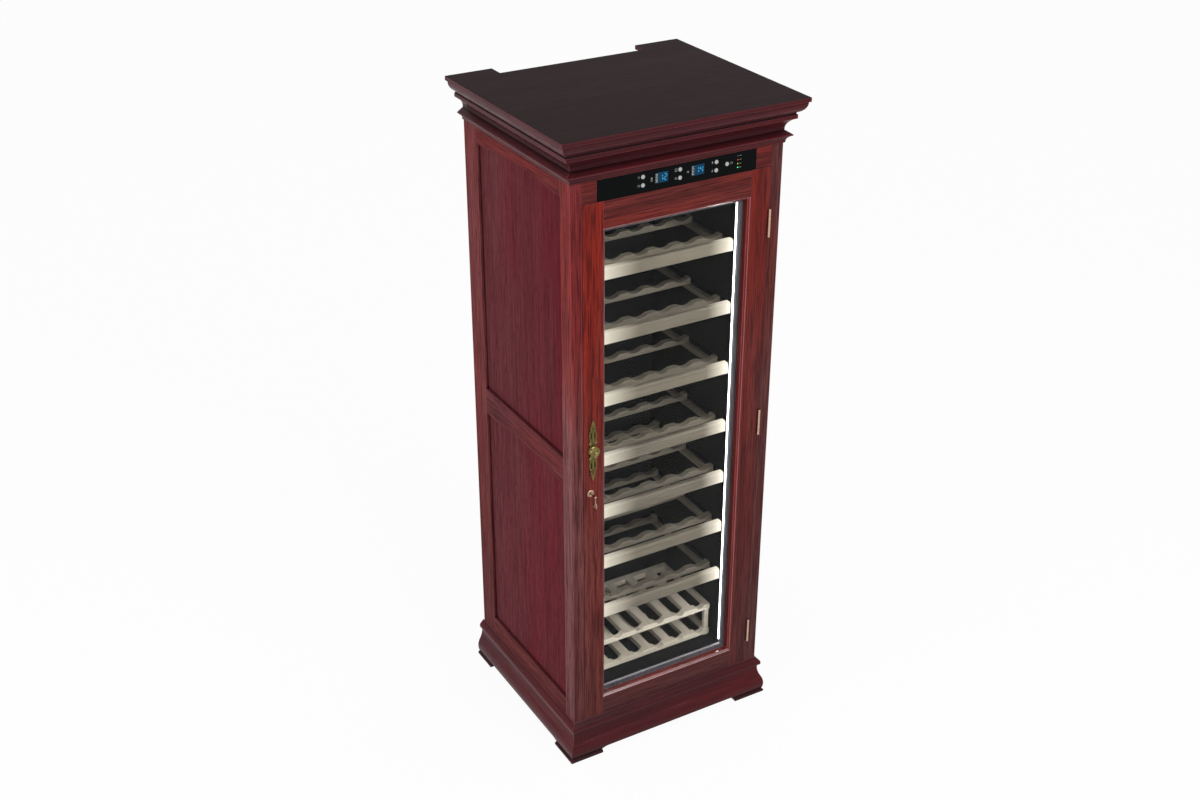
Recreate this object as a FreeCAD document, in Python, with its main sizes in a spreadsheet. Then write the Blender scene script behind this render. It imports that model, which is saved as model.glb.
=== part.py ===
import FreeCAD, Part
import math
import os
import re

import Sketcher

Vector = FreeCAD.Vector

# Driving dimensions of the wine cabinet, in millimetres, degrees and counts
SIZES = {
    # Case
    "total_height": 1920,
    "case_width": 640,
    "case_depth": 594,
    "side_thick": 20,
    # Top board
    "top_thick": 12,
    "top_overhang": 48,
    "rear_overhang": 5,
    "ear_width": 141,
    "vent_notch": 50,
    "top_edge_round": 1.5,
    # Upper crown moulding
    "crown_drop": 79,
    "crown_reach": 43,
    "ovolo_reach": 21.5,
    "ovolo_drop": 31,
    "ovolo_swell": 6.5,
    "quirk_drop": 5,
    "fillet_reach": 24.5,
    "fillet_drop": 47,
    "cove_hollow": 5,
    "cove_foot_drop": 73,
    "cove_foot_reach": 1,
    # Neck moulding
    "neck_drop": 37,
    "neck_reach": 18.3,
    "neck_slope_drop": 12,
    "neck_lip": 3,
    "neck_foot_reach": 4,
    "neck_cove_drop": 29,
    "neck_cove_hollow": 2.5,
    "neck_fillet": 34,
    # Plinth moulding
    "plinth_top": 126,
    "plinth_ledge": 104,
    "plinth_inner": 20,
    "lip_reach": 12,
    "lip_foot": 114.5,
    "bead_reach": 13.7,
    "bead_foot": 100,
    "bead_swell": 1.6,
    "throat_reach": 7,
    "throat_top": 94.5,
    "throat_foot": 86,
    "swell_start_reach": 15.3,
    "swell_start": 58,
    "throat_hollow": 1.5,
    "swell_foot_reach": 19,
    "swell_foot": 9,
    "swell_bulge": 5.7,
    "base_reach": 24,
    "base_fillet": 5,
    # Bracket feet
    "foot_rise": 12,
    "arch_rise": 18,
    "arch_ease": 25,
    "arch_ease_bow": 2,
    "front_foot_width": 107,
    "side_foot_front": 105,
    "side_foot_rear": 89,
    # Front posts and face rails
    "post_width": 34,
    "post_depth": 52,
    "face_rail_thick": 22,
    "threshold_depth": 50,
    "threshold_drop": 1,
    # Side frames
    "rear_stile_width": 77,
    "panel_recess": 9,
    "panel_thick": 8,
    "groove_depth": 8,
    "groove_play": 0.3,
    "top_side_rail": 160,
    "mid_side_rail_top": 1000,
    "mid_side_rail_foot": 920,
    "low_side_rail_top": 182,
    "rail_shoulder": 20,
    "rail_ease": 60,
    "rail_ease_rise": 4,
    "rail_ease_bow": 1,
    "rail_arch_rise": 10,
    # Case boards and blocks
    "floor_board_thick": 18,
    "roof_board_thick": 18,
    "corner_block": 60,
    "corner_block_lift": 4,
    # Control panel
    "fascia_height": 56,
    "fascia_left_inset": 43,
    "fascia_right_inset": 50,
    "fascia_thick": 4,
    "control_left_margin": 93,
    "light_margin": 17.5,
    "control_slot_margin": 7,
    "control_line_drop": 26,
    "column_margin": 39.7,
    "button_row_gap": 22.4,
    "power_button_gap": 33.2,
    "button_radius": 5.6,
    "button_play": 0.4,
    "button_proud": 1.6,
    "button_flange": 1.2,
    "button_flange_lip": 1.2,
    "button_round": 0.6,
    "display_width": 39,
    "display_height": 28,
    "display_shift": 0.75,
    "display_depth": 8,
    "light_gap": 34,
    "light_pitch": 10.4,
    "light_radius": 1.6,
    "switch_gap": 1.6,
    "switch_depth": 4,
    "switch_size": 8,
    "board_thick": 1.6,
    "control_box_depth": 36,
    "control_box_wall": 2.5,
    "control_box_below": 24,
    "control_box_above": 20,
    "control_box_lap": 10,
    "board_margin": 4,
    "board_below": 19,
    "board_above": 17,
    "board_post_inset": 12,
    "board_post_radius": 3,
    # Insulated body and liner
    "flange_thick": 2,
    "liner_wall": 2,
    "cabin_side_wall": 68,
    "cabin_lift": 79,
    "cabin_head_drop": 46,
    "cabin_back_wall": 104,
    "niche_foam": 37,
    "case_play": 0.3,
    "back_recess": 49,
    "foam_cap": 46,
    "niche_reach": 174,
    "niche_height": 370,
    "back_sheet_thick": 1,
    # Light strips
    "led_front": 56,
    "led_width": 12,
    "led_thick": 8,
    "led_wall": 1,
    "led_end_gap": 7,
    # Shelves
    "shelf_side_gap": 10,
    "shelf_front": 70,
    "shelf_strip_thick": 18,
    "shelf_strip_height": 33,
    "shelf_round": 3,
    "shelf_back_gap": 11,
    "shelf_top_drop": 173,
    "lowest_shelf_clear": 39,
    "pitch_shift": 8.5,
    "shelf_rail_width": 16,
    "shelf_rail_height": 12,
    "cradle_thick": 20,
    "cradle_height": 18,
    "cradle_first": 34,
    "cradle_last": 13,
    "cradle_margin": 32.75,
    "bottle_spacing": 72,
    "bottle_radius": 38,
    "scallop_depth": 9,
    # Shelf runners
    "runner_play": 0.3,
    "runner_floor": 2.5,
    "runner_ledge": 14,
    "runner_wall_gap": 0.5,
    "runner_height": 20,
    "runner_start": 72,
    "runner_back_gap": 18,
    # Bottle rack on the cabin floor
    "rack_side_gap": 15,
    "rack_front": 106,
    "rack_back_gap": 15,
    "tier_thick": 18,
    "low_tier_rise": 24,
    "tier_pitch": 92,
    "rack_bar": 20,
    "rack_opening": 45,
    "rack_margin": 34.5,
    "neck_radius": 16,
    "neck_notch": 10,
    "rack_post": 14,
    "rack_post_inset": 3,
    "rack_post_margin": 2,
    # Air duct, fans and evaporator
    "duct_side_gap": 42,
    "duct_rise": 33,
    "duct_drop": 30,
    "duct_depth": 24,
    "duct_wall": 2,
    "fan_low_rise": 120,
    "fan_high_drop": 130,
    "fan_radius": 45,
    "grille_inner": 12,
    "grille_outer": 46,
    "grille_spoke_angle": 12,
    "grille_count": 8,
    "hub_radius": 17,
    "hub_depth": 10,
    "fan_back_gap": 7,
    "blade_thick": 1.6,
    "blade_pitch_angle": 32,
    "blade_chord": 13.5,
    "blade_root": 1,
    "blade_tip_gap": 2,
    "blade_count": 5,
    "motor_radius": 14,
    "motor_gap": 0.6,
    "shaft_radius": 1.6,
    "shaft_play": 0.05,
    "spindle_sink": 1,
    "evaporator_side_gap": 40,
    "evaporator_clearance": 140,
    "evaporator_plate": 3,
    "evaporator_fin": 10,
    "evaporator_fin_thick": 4,
    "evaporator_fin_count": 9,
    # Cooling machine
    "machine_plate_thick": 2,
    "machine_plate_half": 190,
    "machine_plate_margin": 12,
    "grommet_radius": 9,
    "grommet_height": 14,
    "grommet_side": 62,
    "grommet_reach": 46,
    "compressor_side": 90,
    "compressor_radius": 56,
    "compressor_height": 158,
    "compressor_foot_thick": 3,
    "compressor_seam": 3,
    "compressor_shoulder_drop": 39,
    "compressor_dome_radius": 45,
    "compressor_dome_drop": 16,
    "compressor_cap_radius": 24,
    "terminal_lift": 35,
    "terminal_width": 56,
    "terminal_depth": 26,
    "terminal_height": 31,
    "terminal_round": 3,
    "pan_half": 62,
    "pan_depth": 84,
    "pan_height": 26,
    "pan_wall": 2,
    "condenser_side_gap": 65,
    "condenser_rise": 100,
    "condenser_passes": 12,
    "condenser_drop": 276,
    "condenser_tube_radius": 2.5,
    "condenser_bend": 31,
    "condenser_stand_off": 14,
    "wire_radius": 0.9,
    "wire_count": 15,
    "wire_margin": 18,
    "wire_inset": 41.6,
    "clip_width": 14,
    "clip_height": 18,
    "clip_inset": 70.5,
    "clip_lap": 2,
    "pipe_radius": 3,
    "pipe_side_gap": 23,
    "pipe_crest": 40,
    "pipe_bend": 11,
    "suction_bend": 4.5,
    "pipe_sides": 6,
    "liquid_line_gap": 20,
    "hot_port_height": 56,
    "cold_port_height": 112,
    "capillary_radius": 1.8,
    "drier_drop": 70,
    "drier_radius": 9,
    "drier_length": 70,
    "inlet_width": 48,
    "inlet_height": 30,
    "inlet_depth": 22,
    "inlet_wall": 3.5,
    "inlet_inset": 100,
    "inlet_lift": 60,
    "pin_pitch": 9,
    "pin_rise": 4,
    "pin_width": 2,
    "pin_height": 5,
    # Door
    "door_gap": 1.5,
    "door_thick": 42,
    "stile_width": 60.5,
    "sill_rail_height": 57.5,
    "head_rail_height": 74.5,
    "bead_bevel": 6,
    "bead_nose": 0.6,
    "glass_seat": 22,
    "glass_cover": 15,
    "pane_thick": 4,
    "pane_gap": 8,
    "pane_play": 1,
    "spacer_width": 32,
    "gasket_side_lap": 4,
    "gasket_width": 14,
    "gasket_height": 9.6,
    "gasket_base": 3.2,
    "gasket_inset": 2.8,
    "gasket_sill_lap": 11,
    "gasket_head_lap": 12,
    # Hinges
    "hinge_length": 80,
    "hinge_low_rise": 114.5,
    "hinge_mid_rise": 61,
    "hinge_high_drop": 158.5,
    "knuckle_radius": 3.5,
    "knuckle_proud": 3.8,
    "leaf_thick": 1.5,
    "leaf_depth": 30,
    "pin_radius": 1.5,
    "pin_play": 0.05,
    "knuckle_gap": 0.4,
    "end_knuckle": 20,
    # Handle and lock
    "handle_inset": 27.5,
    "handle_level": 1031,
    "plate_half_length": 93,
    "plate_thick": 2.5,
    "plate_disc": 15,
    "plate_disc_rise": 13,
    "plate_leaf_half": 13.5,
    "plate_leaf_rise": 23,
    "plate_lobe_half": 10.3,
    "plate_lobe_low": 35,
    "plate_lobe_high": 56,
    "plate_neck_half": 5.5,
    "plate_barb_half": 9.5,
    "plate_barb_rise": 68,
    "plate_step": 5,
    "plate_curl": 1.6,
    "plate_slot_side": 5.6,
    "plate_slot_half": 1.6,
    "plate_hole_radius": 1.7,
    "plate_hole_rise": 66,
    "knob_radius": 14,
    "knob_height": 20,
    "knob_foot_radius": 12,
    "knob_neck_radius": 6,
    "knob_ring_radius": 9.5,
    "knob_eye_radius": 5,
    "knob_step": 1.6,
    "bolt_radius": 2.8,
    "bolt_play": 0.3,
    "bolt_depth": 29,
    "lock_inset": 20.5,
    "lock_level": 898,
    "rose_radius": 10.5,
    "rose_thick": 2.5,
    "barrel_radius": 7,
    "plug_radius": 4.5,
    "plug_play": 0.06,
    "plug_sink": 0.8,
    "cam_length": 27,
    "cam_half": 5,
    "cam_swell": 4.75,
    "cam_thick": 2.5,
    "cam_play": 1,
    "lock_pocket_depth": 6,
    "lock_pocket_margin": 3,
    "shank_radius": 2.2,
    "shank_reach": 25,
    "shank_insert": 12,
    "key_collar_radius": 3.4,
    "key_collar_thick": 2,
    "eye_radius": 3.3,
    "eye_half": 2.8,
    "eye_slot_play": 0.2,
    "eye_slot_reach": 0.4,
    "rivet_radius": 0.8,
    "bow_half_width": 8,
    "bow_half_height": 10,
    "bow_swell": 2.6,
    "bow_drop": 28,
    "bow_thick": 2.2,
    "bow_stem_half": 1.8,
    "bow_hub_radius": 2.8,
    "bow_hole_radius": 2.2,
    "bow_hole_side": 3.4,
    "bow_hole_rise": 5,
    "bow_hole_drop": 2.5,
    "strike_height": 64,
    "strike_thick": 1.5,
    "strike_width": 18,
}

# Places worked out from the driving dimensions
PLACES = {
    "front_y": "top_overhang - (case_depth + top_overhang + rear_overhang) / 2",
    "back_y": "front_y + case_depth",
    "half_width": "case_width / 2",
    "board_foot": "total_height - top_thick",
    "crown_foot": "board_foot - crown_drop",
    "neck_foot": "crown_foot - neck_drop",
    "fascia_foot": "neck_foot - fascia_height",
    "post_inner": "half_width - post_width",
    "frame_inner": "half_width - side_thick",
    "panel_out": "half_width - panel_recess",
    "panel_in": "panel_out - panel_thick",
    "bay_front": "front_y + post_depth",
    "bay_back": "back_y - rear_stile_width",
    "threshold_top": "plinth_top - threshold_drop",
    "plinth_back_y": "back_y + rear_overhang",
    "floor_board_foot": "plinth_ledge - floor_board_thick",
    "roof_board_foot": "board_foot - roof_board_thick",
    "control_line": "neck_foot - control_line_drop",
    "fascia_left": "post_inner - fascia_left_inset",
    "fascia_right": "post_inner - fascia_right_inset",
    "control_slot_left": "fascia_left - control_left_margin",
    "button_column_pitch": "control_slot_left - column_margin",
    "display_side": "button_column_pitch / 2 - display_shift",
    "power_button_side": "button_column_pitch + power_button_gap",
    "light_side": "power_button_side + light_gap",
    "control_slot_right": "light_side + light_margin",
    "fascia_back": "front_y + fascia_thick",
    "rail_back": "front_y + face_rail_thick",
    "foam_half": "frame_inner - case_play",
    "board_front": "fascia_back + button_flange + switch_gap + switch_depth + runner_play",
    "flange_front": "front_y + post_depth",
    "foam_front": "flange_front + flange_thick",
    "foam_back": "back_y - back_recess",
    "foam_top": "liner_top + liner_wall + foam_cap",
    "liner_half": "frame_inner - cabin_side_wall",
    "liner_floor": "plinth_ledge + cabin_lift",
    "liner_top": "fascia_foot - cabin_head_drop",
    "liner_back": "back_y - cabin_back_wall",
    "niche_front": "back_y - niche_reach",
    "step_back": "niche_front - niche_foam",
    "step_height": "niche_height + niche_foam",
    "duct_front": "liner_back - duct_depth",
    "duct_half": "liner_half - duct_side_gap",
    "duct_foot": "step_height + duct_rise",
    "duct_top": "liner_top - duct_drop",
    "fan_low": "duct_foot + fan_low_rise",
    "fan_high": "duct_top - fan_high_drop",
    "evaporator_half": "duct_half - evaporator_side_gap",
    "evaporator_foot": "fan_low + evaporator_clearance",
    "evaporator_top": "fan_high - evaporator_clearance",
    "sheet_back": "foam_back + back_sheet_thick",
    "door_half": "post_inner - door_gap",
    "door_foot": "plinth_top + door_gap",
    "door_top": "fascia_foot - door_gap",
    "door_back": "front_y + door_thick",
    "seat_y": "front_y + glass_seat",
    "stop_y": "seat_y + pane_thick * 2 + pane_gap",
    "glass_half": "door_half - stile_width",
    "glass_foot": "door_foot + sill_rail_height",
    "glass_top": "door_top - head_rail_height",
    "rebate_half": "glass_half + glass_cover",
    "gasket_inner": "liner_half + gasket_side_lap",
    "gasket_low": "liner_floor - gasket_sill_lap - gasket_width",
    "gasket_high": "liner_top + gasket_head_lap + gasket_width",
    "hinge_low": "door_foot + hinge_low_rise",
    "hinge_high": "door_top - hinge_high_drop",
    "hinge_mid": "(hinge_low + hinge_high) / 2 + hinge_mid_rise",
    "handle_side": "door_half - handle_inset",
    "lock_side": "door_half - lock_inset",
    "hinge_x": "post_inner - door_gap / 2",
    "hinge_y": "front_y - knuckle_proud",
    "shelf_half": "liner_half - shelf_side_gap",
    "shelf_strip_back": "front_y + shelf_front + shelf_strip_thick",
    "shelf_back": "duct_front - shelf_back_gap",
    "shelf_top": "liner_top - shelf_top_drop",
    "shelf_pitch": "(shelf_top - step_height - lowest_shelf_clear) / 6",
    "upper_pitch": "shelf_pitch + pitch_shift",
    "lower_pitch": "shelf_pitch - pitch_shift",
    "cradle_span": "shelf_back - shelf_strip_back - cradle_first - cradle_last - cradle_thick",
    "cradle_pitch": "cradle_span / 2",
    "bottle_count": "floor(2 * (shelf_half - cradle_margin) / bottle_spacing) + 1",
    "bottle_pitch": "2 * (shelf_half - cradle_margin) / (bottle_count - 1)",
    "runner_x": "shelf_half + runner_wall_gap",
    "runner_back": "liner_back - runner_back_gap",
    "rack_half": "liner_half - rack_side_gap",
    "rack_back": "step_back - rack_back_gap",
    "low_tier_top": "liner_floor + low_tier_rise",
    "high_tier_top": "low_tier_top + tier_pitch",
    "rack_pitch": "2 * (rack_half - rack_margin) / (bottle_count - 1)",
    "rack_post_side": "rack_half - rack_post - rack_post_margin",
    "machine_floor": "plinth_ledge + machine_plate_thick",
    "compressor_foot": "machine_floor + grommet_height",
    "compressor_y": "(niche_front + back_y) / 2",
    "condenser_half": "frame_inner - condenser_side_gap",
    "condenser_foot": "niche_height + condenser_rise",
    "condenser_head": "roof_board_foot - condenser_drop",
    "condenser_pitch": "(condenser_head - condenser_foot) / (condenser_passes - 1)",
    "pipe_side": "frame_inner - pipe_side_gap",
    "inlet_side": "frame_inner - inlet_inset",
    "condenser_y": "sheet_back + condenser_stand_off",
    "cam_front": "door_back - lock_pocket_depth + cam_play",
    "cam_back": "cam_front + cam_thick",
    "shank_tip": "front_y - shank_reach",
    "plate_disc_side": "sqrt(plate_disc ^ 2 - plate_disc_rise ^ 2)",
    "plate_disc_bow": "plate_disc - sqrt(plate_disc * (plate_disc + plate_disc_side) / 2)",
    "strike_front": "(cam_front + cam_back - strike_width) / 2",
}

DOC = FreeCAD.newDocument("WineCabinet")
SHEET = DOC.addObject("Spreadsheet::Sheet", "Sizes")
for row, (alias, value) in enumerate(SIZES.items(), start=1):
    SHEET.set(f"A{row}", alias)
    SHEET.set(f"B{row}", str(value))
    SHEET.setAlias(f"B{row}", alias)
DOC.recompute()

NODES = []


# Expressions and bindings

def full(text):
    """Write every size and place in an expression as cells of the sheet."""
    def swap(match):
        word = match.group(0)
        if word in PLACES:
            return "(" + full(PLACES[word]) + ")"
        return "Sizes." + word if word in SIZES else word
    return re.sub(r"[a-z]\w*", swap, str(text))


def number(text):
    """Value of an expression now."""
    return float(SHEET.evalExpression(full(text)))


def count(text):
    """Whole value of an expression now."""
    return int(round(number(text)))


def bind(thing, name, text):
    thing.setExpression(name, full(text))


def keep(thing, label):
    """Name a finished sub-part and list it for export."""
    thing.Label = label
    NODES.append(thing)
    return thing


# Sketches and PartDesign features

def origin_part(body, role):
    return next(part for part in body.Origin.OriginFeatures if part.Role == role)


def bowed_edge(start, end, bow):
    """Arc between two points that bulges by bow to the left of its way; tells if it runs backwards."""
    run = math.hypot(end[0] - start[0], end[1] - start[1])
    radius = (run * run / 4 + bow * bow) / (2 * abs(bow))
    side = math.copysign(1, bow)
    left = (-(end[1] - start[1]) / run, (end[0] - start[0]) / run)
    inset = side * (radius - abs(bow))
    centre = [(start[i] + end[i]) / 2 - left[i] * inset for i in (0, 1)]
    first, last = (math.atan2(p[1] - centre[1], p[0] - centre[0]) for p in (start, end))
    if side > 0:
        first, last = last, first
    if last < first:
        last += 2 * math.pi
    circle = Part.Circle(Vector(centre[0], centre[1], 0), Vector(0, 0, 1), radius)
    return Part.ArcOfCircle(circle, first, last), side > 0


def bow_radius(start, end, bow):
    """Expression for the radius of a bowed edge."""
    run = f"(({end[0]}) - ({start[0]})) ^ 2 + (({end[1]}) - ({start[1]})) ^ 2"
    return f"(({run}) / 4 + ({bow}) ^ 2) / (2 * abs({bow}))"


def draw_loop(sketch, points):
    """Closed outline of lines and bowed edges, every corner held by two bound distances."""
    ends = []
    for i, point in enumerate(points):
        following = points[(i + 1) % len(points)]
        start, end = ([number(p[0]), number(p[1])] for p in (point, following))
        if len(point) > 2:
            edge, backwards = bowed_edge(start, end, number(point[2]))
            place = sketch.addGeometry(edge, False)
            held = sketch.addConstraint(Sketcher.Constraint("Radius", place, edge.Radius))
            bind(sketch, f"Constraints[{held}]", bow_radius(point, following, point[2]))
            ends.append((place, 2, 1) if backwards else (place, 1, 2))
        else:
            line = Part.LineSegment(Vector(start[0], start[1], 0), Vector(end[0], end[1], 0))
            ends.append((sketch.addGeometry(line, False), 1, 2))
    for i, (place, first, last) in enumerate(ends):
        other, start, _ = ends[(i + 1) % len(ends)]
        sketch.addConstraint(Sketcher.Constraint("Coincident", place, last, other, start))
    for (place, first, _), point in zip(ends, points):
        for kind, text in zip(("DistanceX", "DistanceY"), point):
            held = sketch.addConstraint(Sketcher.Constraint(kind, -1, 1, place, first, number(text)))
            bind(sketch, f"Constraints[{held}]", text)


def draw_circle(sketch, across, up, radius):
    circle = Part.Circle(Vector(number(across), number(up), 0), Vector(0, 0, 1), number(radius))
    place = sketch.addGeometry(circle, False)
    for kind, text in (("DistanceX", across), ("DistanceY", up)):
        held = sketch.addConstraint(Sketcher.Constraint(kind, -1, 1, place, 3, number(text)))
        bind(sketch, f"Constraints[{held}]", text)
    held = sketch.addConstraint(Sketcher.Constraint("Radius", place, number(radius)))
    bind(sketch, f"Constraints[{held}]", radius)


def new_sketch(body, plane, level, loops=(), circles=()):
    """Sketch on a plane of the body at a level; XZ sketches look along +Y, so their level turns round."""
    sketch = body.newObject("Sketcher::SketchObject", body.Name + "_sketch")
    sketch.AttachmentSupport = [(origin_part(body, plane + "_Plane"), "")]
    sketch.MapMode = "FlatFace"
    sign = -1 if plane == "XZ" else 1
    bind(sketch, "AttachmentOffset.Base.z", f"{sign} * ({level})")
    for points in loops:
        draw_loop(sketch, points)
    for across, up, radius in circles:
        draw_circle(sketch, across, up, radius)
    return sketch


def new_body(name):
    return DOC.addObject("PartDesign::Body", name)


def pad(body, plane, low, high, loops=(), circles=()):
    """Add material between two levels of the plane's axis."""
    sketch = new_sketch(body, plane, high if plane == "XZ" else low, loops, circles)
    feature = body.newObject("PartDesign::Pad", body.Name + "_pad")
    feature.Profile = sketch
    bind(feature, "Length", f"({high}) - ({low})")
    return feature


def pocket(body, plane, low, high, loops=(), circles=()):
    """Take material away between two levels of the plane's axis."""
    sketch = new_sketch(body, plane, low if plane == "XZ" else high, loops, circles)
    feature = body.newObject("PartDesign::Pocket", body.Name + "_pocket")
    feature.Profile = sketch
    bind(feature, "Length", f"({high}) - ({low})")
    return feature


def rectangle(across_low, across_high, up_low, up_high):
    return [(across_low, up_low), (across_high, up_low), (across_high, up_high), (across_low, up_high)]


def padded(name, plane, low, high, loops=(), circles=()):
    body = new_body(name)
    pad(body, plane, low, high, loops, circles)
    return body


def turned(name, place, points, turn=90):
    """Solid of revolution from (radius, height) points; height runs forwards unless turn says otherwise."""
    body = new_body(name)
    sketch = new_sketch(body, "XZ", "0", [points])
    feature = body.newObject("PartDesign::Revolution", name + "_turned")
    feature.Profile = sketch
    feature.ReferenceAxis = (origin_part(body, "Z_Axis"), [""])
    feature.Angle = 360
    body.Placement.Rotation = FreeCAD.Rotation(Vector(1, 0, 0), turn)
    for axis, text in zip("xyz", place):
        bind(body, "Placement.Base." + axis, text)
    return body


def round_edges(body, radius, chosen):
    """Fillet the edges of the body that a test picks."""
    DOC.recompute()
    tip = body.Tip
    names = [f"Edge{i}" for i, edge in enumerate(tip.Shape.Edges, start=1) if chosen(edge)]
    feature = body.newObject("PartDesign::Fillet", body.Name + "_round")
    feature.Base = (tip, names)
    bind(feature, "Radius", radius)
    return feature


# Part primitives and groups

def board(name, across, deep, up):
    """Plain board between two values on each axis."""
    box = DOC.addObject("Part::Box", name)
    for size, axis, (low, high) in zip(("Length", "Width", "Height"), "xyz", (across, deep, up)):
        bind(box, size, f"({high}) - ({low})")
        bind(box, "Placement.Base." + axis, low)
    return box


def rod(name, place, radius, length, along="z"):
    """Round bar from a point along one axis."""
    turns = {"x": (Vector(0, 1, 0), 90), "y": (Vector(1, 0, 0), -90), "z": (Vector(0, 0, 1), 0)}
    bar = DOC.addObject("Part::Cylinder", name)
    bind(bar, "Radius", radius)
    bind(bar, "Height", length)
    bar.Placement.Rotation = FreeCAD.Rotation(*turns[along])
    for axis, text in zip("xyz", place):
        bind(bar, "Placement.Base." + axis, text)
    return bar


def faceted_rod(name, place, radius, length):
    """Upright wire with a few flat sides."""
    bar = DOC.addObject("Part::Prism", name)
    bar.Polygon = 6
    bind(bar, "Circumradius", radius)
    bind(bar, "Height", length)
    for axis, text in zip("xyz", place):
        bind(bar, "Placement.Base." + axis, text)
    return bar


def mirrored(name, source):
    """Copy on the other side of the cabinet's middle plane."""
    copy = DOC.addObject("Part::Mirroring", name)
    copy.Source = source
    copy.Normal = Vector(1, 0, 0)
    return copy


def group(name, parts):
    """Several separate solids under one name."""
    compound = DOC.addObject("Part::Compound", name)
    compound.Links = parts
    return compound


def fused(name, parts):
    union = DOC.addObject("Part::MultiFuse", name)
    union.Shapes = parts
    return union


def cut(name, base, tool):
    result = DOC.addObject("Part::Cut", name)
    result.Base = base
    result.Tool = tool
    return result


def shaped(name, shape):
    """Sub-part whose shape is worked out with the Part module from the same cells."""
    feature = DOC.addObject("Part::Feature", name)
    feature.Shape = shape
    return feature


def pipe(points, radius, bend):
    """Slim tube along straight runs joined by tangent arcs of one bend radius."""
    edges = []
    last = points[0]
    for before, corner, after in zip(points, points[1:], points[2:]):
        back = (before - corner).normalize()
        ahead = (after - corner).normalize()
        turn = math.pi - back.getAngle(ahead)
        reach = bend * math.tan(turn / 2)
        start, end = corner + back * reach, corner + ahead * reach
        middle = (back + ahead).normalize()
        centre = corner + middle * (bend / math.cos(turn / 2))
        if (start - last).Length > 0.01:
            edges.append(Part.LineSegment(last, start).toShape())
        edges.append(Part.Arc(start, centre - middle * bend, end).toShape())
        last = end
    edges.append(Part.LineSegment(last, points[-1]).toShape())
    path = Part.Wire(edges)
    turn = FreeCAD.Rotation(Vector(0, 0, 1), points[1] - points[0])
    sides = count("pipe_sides")
    corners = []
    for i in range(sides + 1):
        angle = 2 * math.pi * (i % sides) / sides
        spoke = Vector(radius * math.cos(angle), radius * math.sin(angle), 0)
        corners.append(points[0] + turn.multVec(spoke))
    return path.makePipeShell([Part.makePolygon(corners)], True, False)


# Mitred mouldings round the front and both sides

def mitre_front(body, low, high, inner, reach):
    """Cut both ends of a front moulding at forty-five degrees."""
    for side in ("-1", "1"):
        points = [
            (f"{side} * (half_width - ({inner}))", f"front_y + ({inner})"),
            (f"{side} * (half_width + ({reach}))", f"front_y - ({reach})"),
            (f"{side} * (half_width + ({reach}))", f"front_y + ({inner})"),
        ]
        pocket(body, "XY", low, high, [points])


def mitre_side(body, low, high, inner, reach):
    """Cut the front end of the right-hand moulding at forty-five degrees."""
    points = [
        (f"half_width - ({inner})", f"front_y + ({inner})"),
        (f"half_width - ({inner})", f"front_y - ({reach})"),
        (f"half_width + ({reach})", f"front_y - ({reach})"),
    ]
    pocket(body, "XY", low, high, [points])


def moulding(name, outline, low, high, inner, reach, back):
    """Front, right and left pieces of one moulding from an outline of (offset, height, bow)."""
    front_points = []
    side_points = []
    for offset, height, *bow in outline:
        front_points.append((f"front_y - ({offset})", height, *(f"-({b})" for b in bow)))
        side_points.append((f"half_width + ({offset})", height, *bow))
    front = new_body(name + "_front")
    ends = f"half_width + ({reach})"
    pad(front, "YZ", f"-({ends})", ends, [front_points])
    mitre_front(front, low, high, inner, reach)
    right = new_body(name + "_right")
    pad(right, "XZ", f"front_y - ({reach})", back, [side_points])
    mitre_side(right, low, high, inner, reach)
    return front, right


# Top board, crown, neck moulding

def top_board():
    edge = "half_width + top_overhang"
    front = "front_y - top_overhang"
    back = "back_y + rear_overhang"
    notch = f"{edge} - ear_width"
    points = [
        (f"-({edge})", front), (edge, front), (edge, back), (notch, back),
        (notch, f"{back} - vent_notch"), (f"-({notch})", f"{back} - vent_notch"),
        (f"-({notch})", back), (f"-({edge})", back),
    ]
    body = padded("top_board", "XY", "board_foot", "total_height", [points])

    def upper_outer(edge_shape):
        box = edge_shape.BoundBox
        at_top = box.ZMin > number("total_height") - 0.01
        outside = box.YMax < number(front) + 0.01 or abs(box.Center.x) > number(edge) - 0.01
        return at_top and outside and box.ZLength < 0.01

    round_edges(body, "top_edge_round", upper_outer)
    keep(body, "top_board")


def crown_moulding():
    outline = [
        ("0", "board_foot"), ("crown_reach", "board_foot", "ovolo_swell"),
        ("ovolo_reach", "board_foot - ovolo_drop"),
        ("ovolo_reach", "board_foot - ovolo_drop - quirk_drop"),
        ("fillet_reach", "board_foot - ovolo_drop - quirk_drop"),
        ("fillet_reach", "board_foot - fillet_drop", "-cove_hollow"),
        ("cove_foot_reach", "board_foot - cove_foot_drop"),
        ("cove_foot_reach", "crown_foot"), ("0", "crown_foot"),
    ]
    front, right = moulding("crown", outline, "crown_foot", "board_foot", "0", "crown_reach + 1", "back_y")
    keep(group("crown", [front, right, mirrored("crown_left", right)]), "crown_moulding")


def neck_moulding():
    outline = [
        ("0", "crown_foot"), ("neck_reach", "crown_foot - neck_slope_drop"),
        ("neck_reach", "crown_foot - neck_slope_drop - neck_lip", "-neck_cove_hollow"),
        ("neck_foot_reach", "crown_foot - neck_cove_drop"),
        ("neck_foot_reach", "crown_foot - neck_fillet"), ("0", "neck_foot"),
    ]
    front, right = moulding("neck", outline, "neck_foot", "crown_foot", "0", "neck_reach + 1", "back_y")
    keep(group("neck", [front, right, mirrored("neck_left", right)]), "neck_moulding")


# Plinth with bracket feet

def foot_arch(start, end):
    """Space under the plinth between two bracket feet, eased at both shoulders."""
    return [
        (start, "-1"), (start, "foot_rise", "arch_ease_bow"), (f"{start} + arch_ease", "arch_rise"),
        (f"{end} - arch_ease", "arch_rise", "arch_ease_bow"), (end, "foot_rise"), (end, "-1"),
    ]


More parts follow.
